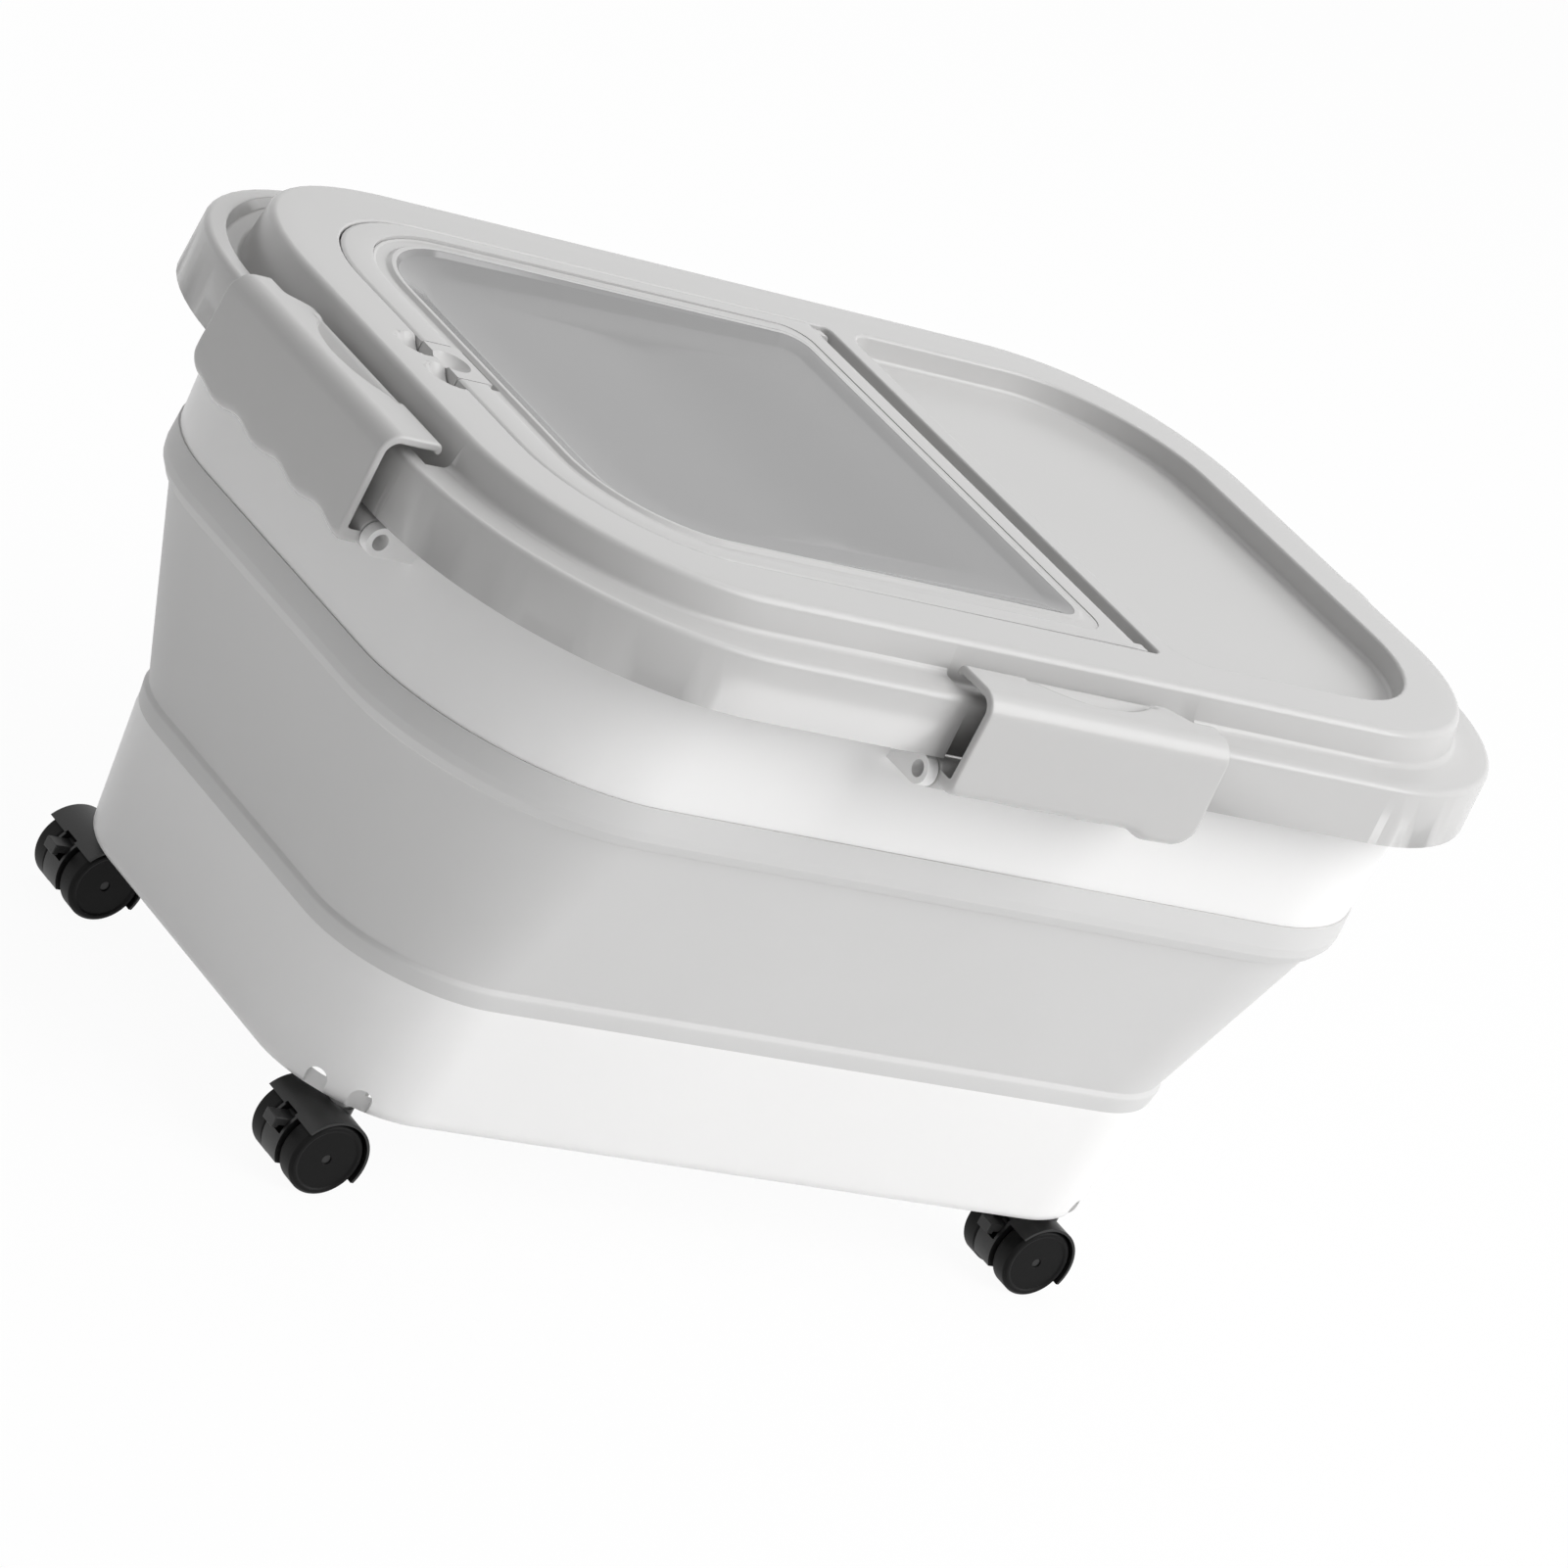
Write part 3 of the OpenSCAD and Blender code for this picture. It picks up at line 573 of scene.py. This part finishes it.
def doorHole():
    # from the deck down the hole's wall and in along the ledge, which the door's rim covers
    look, deck, reach = holeLook, lidLook["deck"], -holeLook["ledge"]
    rows = roundedRows([(look["lead"], deck), (0.0, deck), (0.0, look["ledgeTop"]), (reach, look["ledgeTop"]),
                        (reach, look["ledgeFoot"])], look["radii"], 4)
    d, z = rows[:, 0], rows[:, 1]
    ledge = np.clip(d / reach, 0, 1)
    right = look["right"] + d * (1 - ledge) + (look["ledgeRight"] - look["right"]) * ledge
    corner = np.maximum(look["rightRadius"] + d, look["leastRadius"])
    rightRadius = corner * (1 - ledge) + look["ledgeRadius"] * ledge
    return placed(cornerLoops(look["left"] - d, right, look["half"] + d, look["leftRadius"] + d, rightRadius, z,
                              leftStops=catchStops))


def panelWell():
    # the recessed panel's wall and the margin of its floor
    look, deck = panelLook, lidLook["deck"]
    rows = roundedRows([(look["lead"], deck), (look["draft"], deck), (0.0, look["floor"]),
                        (-look["margin"], look["floor"])], look["radii"], 6)
    d, z = rows[:, 0], rows[:, 1]
    return placed(cornerLoops(look["left"] - d, look["right"] + d, look["half"] + d, look["leftRadius"] + d,
                              look["rightRadius"] + d, z))


def lid():
    # skin, door hole and panel well, joined by the level deck and the panel's floor; the scoops lower the
    # deck to the lesser of its own height and the deck's less their depth
    skin, hole, well, deck = lidSkin(), doorHole(), panelWell(), lidLook["deck"]
    extra = sprinkle(catchScoops["xs"], catchScoops["ys"])
    deckPoints, deckFaces = flatFaces(skin[0], [hole[0], well[0]], extra, deck / 1000)
    floorPoints, floorFaces = flatFaces(well[-1], [], np.zeros((0, 2)), panelLook["floor"] / 1000)
    for points in (deckPoints, hole):
        points[..., 2] = np.minimum(points[..., 2], (deck - scoopDepth(*drawn(points))) / 1000)
    grids = [(grid, gridFaces(*grid.shape[:2])) for grid in (skin, hole, well)]
    mesh = welded(meshOf("lid", grids + [(deckPoints, deckFaces), (floorPoints, floorFaces)]), 40)
    outward(mesh)
    thicken(newPiece("lid", mesh, "lid", "lid_shell", "lid_frame"), lidLook["wall"], lidLook["round"])


plugLook = {"section": [(64.0, 208.0), (66.0, 208.0), (66.0, 233.6), (64.0, 233.6)], "radii": [0.7, 0.7, 0.3, 0.3]}


def lidPlug():
    # the rim that reaches into the ring, and the wall above it up to the deck
    ring = closedFillets(plugLook["section"], plugLook["radii"], 3)
    mesh = welded(meshFrom("lidPlug", placed(carry(ring, planPath())), loopAlong=True))
    newPiece("lidPlug", mesh, "lid", "lid_shell", "lid_frame")


tabLook = {"outline": [(203.6, 222.8), (212.2, 222.8), (211.4, 227.6), (209.6, 229.6), (206.4, 229.6),
                       (204.4, 227.4)], "radii": [0.3, 0.5, 1.0, 0.9, 0.9, 0.8], "from": -9.0, "to": 2.0,
           "round": 0.5}


def liftTab():
    # small wedge on the flange of the far short side
    wedge = closedFillets(tabLook["outline"], tabLook["radii"], 3)
    mesh = remade(meshOf("liftTab", [prism(wedge, tabLook["from"], tabLook["to"])]), evened)
    roundEdges(newPiece("liftTab", mesh, "lid", "lid_shell", "lid_frame"), tabLook["round"], 2)


lid()
lidPlug()
liftTab()
print("lid done")


# flip door; each station: distance, height, then the outline's left, right, half, left and right radius
doorLook = {"top": 235.0, "foot": 227.3, "inner": 226.3, "channel": 233.7, "bead": 234.9, "pane": 229.6,
            "wall": 1.1, "round": 0.3, "paneWall": 1.6}
bayLook = {"floor": 231.0, "half": 11.5, "end": -159.0, "windowLift": 0.1}
paneGrid = {"xs": np.arange(-150.0, 9.0, 3.0), "ys": np.arange(-70.0, 71.0, 7.0), "shrink": 0.995}
fadeLook = {"from": -20.0, "over": 42.0, "share": 0.8, "above": 231.5}
panFade = {"from": -75.0, "over": 100.0, "share": 0.7}
frameStations = [
    (6.0, doorLook["foot"], -174.9, 36.3, 101.4, 50.9, 0.9),
    (6.0, doorLook["top"], -174.9, 36.3, 101.4, 50.9, 0.9),
    (0.0, doorLook["top"], -164.0, 28.5, 95.0, 45.0, 10.0),
    (0.0, doorLook["channel"] - 0.6, -164.0, 28.5, 95.0, 45.0, 10.0),
    (-6.2, doorLook["channel"] - 0.6, -157.0, 24.0, 88.5, 39.0, 9.0),
    (-6.2, doorLook["inner"], -157.0, 24.0, 88.5, 39.0, 9.0)]
frameRadii = [0.9, 0.35, 0.3, 0.3]
windowStations = [
    (0.0, doorLook["channel"] - 0.4, -163.8, 28.3, 94.8, 44.8, 9.8),
    (0.0, doorLook["channel"] + 0.5, -163.8, 28.3, 94.8, 44.8, 9.8),
    (-1.2, doorLook["channel"], -162.6, 27.1, 93.6, 43.6, 9.0),
    (-4.8, doorLook["channel"], -159.2, 25.2, 90.2, 40.2, 8.5),
    (-6.0, doorLook["bead"], -157.8, 24.2, 88.8, 38.8, 8.2),
    (-7.6, doorLook["bead"], -156.2, 23.0, 87.2, 37.2, 8.0),
    (-8.8, 233.0, -154.6, 22.0, 86.0, 36.0, 7.6),
    (-17.0, 230.2, -143.0, 15.0, 78.5, 29.0, 6.5),
    (-27.0, doorLook["pane"], -128.0, 6.0, 68.0, 20.0, 5.0)]
windowRadii = [0.4, 0.5, 0.9, 0.5, 0.7, 1.0, 9.0]
rimEnd = -7.5  # the distance on the bead where the rim ends and the pane begins


def shallower(x, z, top, fade):
    # depth below top shrinks towards the hinge: it is multiplied by 1 less an eased share of x
    return top - (top - z) * (1 - fade["share"] * easeIn((x - fade["from"]) / fade["over"]))


def levelOut(points):
    # the sunk border rises to the door's top towards the hinge
    z = points[..., 2]
    risen = shallower(drawn(points)[0], z, doorLook["top"] / 1000, fadeLook)
    points[..., 2] = np.where(z > fadeLook["above"] / 1000, risen, z)
    return points


def sinkBay(points, lift=0.0):
    # border and channel drop to the floor of the bay where the catch slides
    x, y = drawn(points)
    within = (np.abs(y) <= bayLook["half"] + 0.01) & (x < bayLook["end"])
    floor = (bayLook["floor"] + lift) / 1000
    points[..., 2] = np.where(within, np.minimum(points[..., 2], floor), points[..., 2])
    return points


def doorLoops(stations, radii, steps):
    # the rounded outlines of a run of stations, and the distance of each
    rows = roundedRows(stations, radii, steps)
    loops = cornerLoops(*rows[:, 2:].T, rows[:, 1], leftStops=catchStops)
    return levelOut(placed(loops)), rows[:, 0]


def doorFrame():
    # rounded outlines from the foot of the door's rim, over its top and the sunk border, to the inner edge
    loops = sinkBay(doorLoops(frameStations, frameRadii, 4)[0])
    mesh = welded(meshFrom("doorFrame", loops), 40)
    outward(mesh)
    thicken(newPiece("doorFrame", mesh, "door", "lid_shell", "door_frame"), doorLook["wall"], doorLook["round"])


def panLevel(points):
    # the pan is deep at the free end and grows shallow towards the hinge
    points[..., 2] = shallower(drawn(points)[0], points[..., 2], doorLook["bead"] / 1000, panFade)


def windowPieces():
    # channel and bead, then sloping wall and pane: one run of rounded outlines, split on the bead
    loops, distance = doorLoops(windowStations, windowRadii, 6)
    sinkBay(loops, bayLook["windowLift"])
    split = int(np.argmin(np.abs(distance - rimEnd)))
    panLevel(loops[split:])
    extra = sprinkle(paneGrid["xs"], paneGrid["ys"])
    extra = extra[inside(extra, loops[-1] * [paneGrid["shrink"], paneGrid["shrink"], 1])]
    floorPoints, floorFaces = flatFaces(loops[-1], [], extra, doorLook["pane"] / 1000)
    panLevel(floorPoints)
    rim = meshFrom("windowRim", loops[:split + 1])
    pan = meshOf("windowPan", [(loops[split:], gridFaces(*loops[split:].shape[:2])), (floorPoints, floorFaces)])
    for mesh, slot, node, finish in ((rim, "lid_shell", "door_frame", "windowRim"),
                                     (pan, "window", "door_window", None)):
        outward(welded(mesh, 60))
        thicken(newPiece(mesh.name, mesh, "door", slot, node, finish), doorLook["paneWall"])


armLook = {"axis": (40.6, 232.0), "eye": 2.2, "pin": 1.5, "root": 31.0, "rootFoot": 229.0, "rootTop": 234.2,
           "inner": 96.0, "outer": 99.6, "pinFrom": 99.0, "pinTo": 104.0, "round": 0.3}


def hingeArms():
    # two flat arms with a round eye each, and the stub pins that turn in the lid
    look = armLook
    eye = ringOf(look["axis"], look["eye"])  # its points 19 to 23 and 0 to 6 are the half away from the root
    foot = [[look["root"], look["rootFoot"]], [look["axis"][0], look["axis"][1] - look["eye"]]]
    arm = np.concatenate([foot, eye[19:], eye[:7], [[look["root"], look["rootTop"]]]])
    solids = []
    for s in (-1, 1):
        solids.append(prism(arm, s * look["inner"], s * look["outer"]))
        solids.append(prism(ringOf(look["axis"], look["pin"]), s * look["pinFrom"], s * look["pinTo"]))
    mesh = remade(meshOf("hingeArms", solids), evened)
    roundEdges(newPiece("hingeArms", mesh, "door", "lid_shell", "door_frame"), look["round"], 2)


doorFrame()
windowPieces()
hingeArms()
print("door done")


# latches: u runs out from the rod, y along it, z up; side a faces -X and side b faces -Y
latchPlace = {"a": 210.5, "b": 137.0, "height": 198.0, "offset": 2.5}
latchLook = {"out": 12.0, "top": 32.0, "foot": -4.6, "inner": -9.3, "wall": 2.8, "bend": 7.0, "curl": 3.6,
             "lip": 28.6, "lipTurn": 1.0, "near": 49.5, "splay": 2.0, "splayFrom": 6.0, "edge": 0.9,
             "columns": 110, "nearCorner": 3.0, "farCorner": 6.5, "cutBack": -2.5, "cutFrom": 8.0, "cutOver": 9.0,
             "face": ((18.0, 0.0), (12.0, 0.2), (7.0, 0.5), (3.0, 0.8)), "hem": (6.0, 3.6, 3.59)}
waveLook = {"height": {"a": 1.1, "b": 0.12}, "length": 26.0, "lobe": {"a": 0.0, "b": 2.4}, "lobeFrom": 17.0,
            "lobeOver": 9.0}
scoopLook = {"radius": 38.8, "middle": -1.0, "reach": 1.6, "deep": 5.6, "shallow": 0.5, "ridge": -7.7,
             "half": 26.8, "ends": 2.5, "side": 0.9, "leastFloor": 0.8, "floorRows": 8, "sideRows": 6,
             "plainRows": 8}


def onSide(side, local):
    # a latch's u, y and z in mm at its place: u and y run away from the middle of the bin and back along it
    u, y, z = local[..., 0], local[..., 1], local[..., 2]
    out, along = -latchPlace[side] - u, -latchPlace["offset"] - y
    flat = (out, along) if side == "a" else (along, out)
    return placed(np.stack([*flat, latchPlace["height"] + z], -1) / 1000)


def latchRow(u, z, dip=0.0, inner=0.0, foot=0.0):
    # one line along a latch: place of its middle surface, share of the scoop, and how far it follows
    # the cut back of the inner end and the wave of the foot
    return (u, z, dip, inner, foot)


def latchRows():
    # middle line of the section, from the lip over the top and the bend down the face to the foot's curl;
    # the level rows between start and stop get their place later
    look, scoop = latchLook, scoopLook
    t, r = look["wall"] / 2, look["lipTurn"]
    inner, top, out, foot = look["inner"] + t, look["top"] - t, look["out"] - t, look["foot"] + t
    bend, curl = look["bend"] - t, look["curl"] - t
    rows = [latchRow(inner, z, 1.0, 1.0) for z in np.linspace(look["lip"], top - r, 6)]
    rows += [latchRow(inner + r - r * math.cos(a), top - r + r * math.sin(a), 1.0, 1.0)
             for a in np.linspace(0.4, math.pi / 2, 4)]
    start = len(rows)
    rows += [latchRow(0.0, top)] * (scoop["floorRows"] + scoop["sideRows"] + scoop["plainRows"])
    stop = len(rows)
    rows += [latchRow(out - bend + bend * math.sin(a), top - bend + bend * math.cos(a))
             for a in np.linspace(0, math.pi / 2, 12)]
    rows += [latchRow(out, z, 0.0, 0.0, share) for z, share in look["face"] + ((foot + curl, 1.0),)]
    rows += [latchRow(out - curl + curl * math.cos(a), foot + curl - curl * math.sin(a), 0.0, 0.0, 1.0)
             for a in np.linspace(0.25, math.pi / 2, 6)]
    rows += [latchRow(u, foot, 0.0, 0.0, 1.0) for u in look["hem"]]
    return np.array(rows), start, stop


def scoopRows(y, first):
    # level rows from the lip's turn to the bend: floor of the scoop up to its lens-shaped edge, its steep
    # side, then the plain top; also the share of the scoop's depth at its two ends
    scoop, last = scoopLook, latchLook["out"] - latchLook["bend"]
    off = y - scoop["middle"]
    lens = scoop["reach"] - scoop["radius"] + np.sqrt(np.clip(scoop["radius"] ** 2 - off ** 2, 0, None))
    edge = np.maximum(lens, first + scoop["leastFloor"])
    floorShare, sideShare, plainShare = (np.arange(1, count + 1)[:, None] / whole for count, whole in (
        (scoop["floorRows"], scoop["floorRows"]), (scoop["sideRows"], scoop["sideRows"]),
        (scoop["plainRows"], scoop["plainRows"] + 1)))
    floor = first + (edge - first) * floorShare
    steep = edge + scoop["side"] * sideShare
    plain = steep[-1:] + (last - steep[-1:]) * plainShare
    dips = np.concatenate([np.ones_like(floorShare), 1 - easeIn(sideShare), 0 * plainShare])
    return np.concatenate([floor, steep, plain]), dips, easeIn((scoop["half"] - np.abs(off)) / scoop["ends"])


def footRise(side, away, length):
    # the foot's wave, one lobe at the far end and a round corner at each end
    look, wave = latchLook, waveLook
    d = np.clip(away - look["nearCorner"], 0, None)
    rise = wave["height"][side] * (1 - np.cos(2 * math.pi * d / wave["length"]))
    rise = rise + wave["lobe"][side] * easeIn((length - away - wave["lobeFrom"]) / wave["lobeOver"])
    for gap, radius in ((away, look["nearCorner"]), (length - away, look["farCorner"])):
        rise = rise + radius - np.sqrt(radius ** 2 - np.clip(radius - gap, 0, radius) ** 2)
    return rise


def latchCover(side):
    # the middle surface M and its outward normal N give both skins, M + N h and M - N h; the half wall h
    # shrinks along a quarter circle at the two ends, and to nothing at the lip and the hem
    look, scoop = latchLook, scoopLook
    rows, start, stop = latchRows()
    edge, length, halfWall = look["edge"], 2 * look["near"], look["wall"] / 2
    ends = edge * (1 - np.cos(np.linspace(0, math.pi / 2, 6)))
    middle = np.linspace(edge, length - edge, look["columns"])[1:-1]
    away = np.concatenate([ends, middle, length - ends[::-1]])[None]
    u, z, dip, inner, foot = (rows[:, k][:, None] + 0 * away for k in range(5))
    slant = look["splay"] * np.clip((z - look["foot"] - look["splayFrom"]) / (look["top"] - look["foot"]), 0, 1)
    y = look["near"] - away * (1 - slant / length)
    cut = easeIn((length - away - look["cutFrom"]) / look["cutOver"])
    back = look["cutBack"] - (look["cutBack"] - look["inner"]) * cut + halfWall
    u = u + inner * (back - (look["inner"] + halfWall))
    u[start:stop], dip[start:stop], within = scoopRows(y[start], back[0] + look["lipTurn"])
    slope01 = np.clip((u - scoop["ridge"]) / (scoop["reach"] - scoop["ridge"]), 0, 1)
    deep = (scoop["shallow"] + (scoop["deep"] - scoop["shallow"]) * slope01) * within
    slope = np.stack([np.gradient(u, axis=0), np.gradient(z, axis=0)])
    slope = slope / np.linalg.norm(slope, axis=0)
    z = z - dip * deep + foot * footRise(side, away, length)
    toEnd = np.clip(edge - np.minimum(away, length - away), 0, edge)
    lipAway = np.clip((rows[:, 1] - look["lip"])[:, None] / look["lipTurn"], 0, 1)
    lipAway[len(rows) // 2:] = 1
    lipAway[-1] = 0
    half = (halfWall - edge + np.sqrt(edge ** 2 - toEnd ** 2)) * np.sqrt(1 - (1 - lipAway) ** 2)
    skins = [np.stack([u - slope[1] * half * s, y, z + slope[0] * half * s], -1) for s in (1, -1)]
    loop = np.concatenate([skins[0], skins[1][:, ::-1]], 1)
    mesh = welded(meshFrom("latchCover_" + side, onSide(side, loop)), 70)
    outward(mesh, closed=True)
    newPiece("latchCover_" + side, mesh, "latch_" + side, "lid_shell", "latch_" + side)


knuckleLook = {"section": [(3.5, -49.0), (3.5, 49.0), (3.8, 49.3), (4.7, 49.3), (5.0, 49.0), (5.0, -49.0),
                           (4.7, -49.3), (3.8, -49.3)], "steps": 40}


def latchKnuckle(side):
    # the tube round the rod: its section of radius and place along the rod, turned full circle
    section = np.array(knuckleLook["section"])
    turn = np.linspace(0, 2 * math.pi, knuckleLook["steps"], endpoint=False)[None]
    r, along = section[:, 0][:, None], section[:, 1][:, None]
    points = np.stack([r * np.cos(turn), along + 0 * turn, r * np.sin(turn)], -1)
    mesh = welded(meshFrom("latchKnuckle_" + side, onSide(side, points), loopAlong=True), 60)
    outward(mesh, closed=True)
    newPiece("latchKnuckle_" + side, mesh, "latch_" + side, "lid_shell", "latch_" + side)


for side in ("a", "b"):
    latchCover(side)
    latchKnuckle(side)
print("latches done")


# softened copies of the plainer pieces, with the radius of their edges in mm
softLook = {"tray": 0.6, "ring": 0.5, "catch": 0.4, "caster": 0.3}
softCopy("tray", "base_tray", "tub", "white_shell", softLook["tray"])
softCopy("ring", "upper_ring", "lid", "white_shell", softLook["ring"])
softCopy("catch", "door_catch", "catch", "lid_shell", softLook["catch"])
for corner in ("front_left", "front_right", "rear_left", "rear_right"):
    softCopy(corner + "_softHood", corner + "_hood", corner + "_caster", "caster_black", softLook["caster"], 2)
    for wheel in ("_inner", "_outer"):
        softCopy(corner + wheel + "_softWheel", corner + wheel + "_wheel", corner + wheel + "_wheel",
                 "wheel_black", softLook["caster"], 2)
    softCopy(corner + "_softBrake", corner + "_brake", corner + "_brake", "brake_grey", softLook["caster"], 2)
print("softened copies done")


# camera, light and floor
def setUp(name, data, right, up, back, place):
    # an object at place whose own axes are right, up and back
    holder = bpy.data.objects.new(name, data)
    bpy.context.scene.collection.objects.link(holder)
    turn = np.eye(4)
    turn[:3, 0], turn[:3, 1], turn[:3, 2], turn[:3, 3] = right, up, back, place
    holder.matrix_world = Matrix(turn.tolist())
    return holder


cameraLook = {"place": (-1.5758, -1.7242, 0.9265), "lens": 181.75, "sensor": 36.0, "near": 0.05, "far": 50.0,
              "right": (0.7508, -0.4929, 0.4396), "down": (0.1455, -0.5258, -0.8381),
              "forward": (0.6443, 0.6932, -0.3231)}


def makeCamera():
    # looks along forward, with right and down as the picture's own directions
    right, down, forward = (np.array(cameraLook[key]) for key in ("right", "down", "forward"))
    lens = bpy.data.cameras.new("camera")
    lens.lens, lens.sensor_width, lens.sensor_fit = cameraLook["lens"], cameraLook["sensor"], "HORIZONTAL"
    lens.clip_start, lens.clip_end = cameraLook["near"], cameraLook["far"]
    bpy.context.scene.camera = setUp("camera", lens, right, -down, -forward, cameraLook["place"])


lampLook = {
    "key": {"place": (1.7, -1.9, 2.0), "aim": (0.05, 0.0, 0.15), "size": 2.4, "power": 74.0},
    "top": {"place": (0.6, 0.3, 2.6), "aim": (0.0, 0.0, 0.2), "size": 2.4, "power": 20.0},
}


def makeLamps():
    # square soft lamps, each turned so that its -Z looks at its aim
    for name, look in lampLook.items():
        light = bpy.data.lights.new(name, "AREA")
        light.shape, light.size, light.energy = "SQUARE", look["size"], look["power"]
        back = unit(np.array(look["place"]) - np.array(look["aim"]))
        right = unit(np.cross((0, 0, 1), back))
        setUp(name, light, right, np.cross(back, right), back, look["place"])


def seenDirect(sheet):
    # 1 for rays that the camera, a glossy surface or a clear pane sends
    camera, glossy, clear = (sheet.node("ShaderNodeLightPath", output=kind) for kind in
                             ("Is Camera Ray", "Is Glossy Ray", "Is Transmission Ray"))
    total = camera + glossy + clear
    return total.reckon("MINIMUM", total, 1.0)


worldLook = {"level": 0.36, "tilt": 0.2}  # tilt: the room is a little dimmer towards -X


def makeWorld():
    # the room's strength is its level times 1 plus the tilt times the direction's x; seen directly it is white
    world = bpy.data.worlds.new("studio")
    bpy.context.scene.world = world
    world.use_nodes = True
    sheet = Sheet("studio", world.node_tree)
    heading = sheet.node("ShaderNodeTexCoord", output="Generated")
    towardsX = sheet.node("ShaderNodeSeparateXYZ", {}, {0: heading})
    plain = sheet.node("ShaderNodeBackground", {}, {
        "Color": colour(1.0), "Strength": (towardsX * worldLook["tilt"] + 1) * worldLook["level"]})
    white = sheet.node("ShaderNodeBackground", {}, {"Color": colour(1.0), "Strength": 1.0})
    sheet.node("ShaderNodeOutputWorld", {}, {"Surface": sheet.mixShaders(seenDirect(sheet), plain, white)})


floorLook = {"half": 6.0, "level": 0.92, "seen": 0.95}  # seen: how much of it glows white where seen directly


def makeFloor():
    # a wide level square that keeps the bin's shadow
    half = floorLook["half"]
    corners = np.array([[[-half, -half, 0], [half, -half, 0]], [[-half, half, 0], [half, half, 0]]])
    floor = bpy.data.objects.new("floor", meshFrom("floor", corners, loopAround=False))
    bpy.context.scene.collection.objects.link(floor)
    sheet = Sheet("paleFloor")
    matte = sheet.node("ShaderNodeBsdfDiffuse", {}, {"Color": colour(floorLook["level"])})
    glow = sheet.node("ShaderNodeEmission", {}, {"Color": colour(1.0), "Strength": 1.0})
    mixed = sheet.mixShaders(seenDirect(sheet) * floorLook["seen"], matte, glow)
    sheet.node("ShaderNodeOutputMaterial", {}, {"Surface": mixed})
    floor.data.materials.append(sheet.material)


makeCamera()
makeLamps()
makeWorld()
makeFloor()
bpy.context.scene.view_settings.view_transform = "Standard"
print("camera, lamps and floor ready")
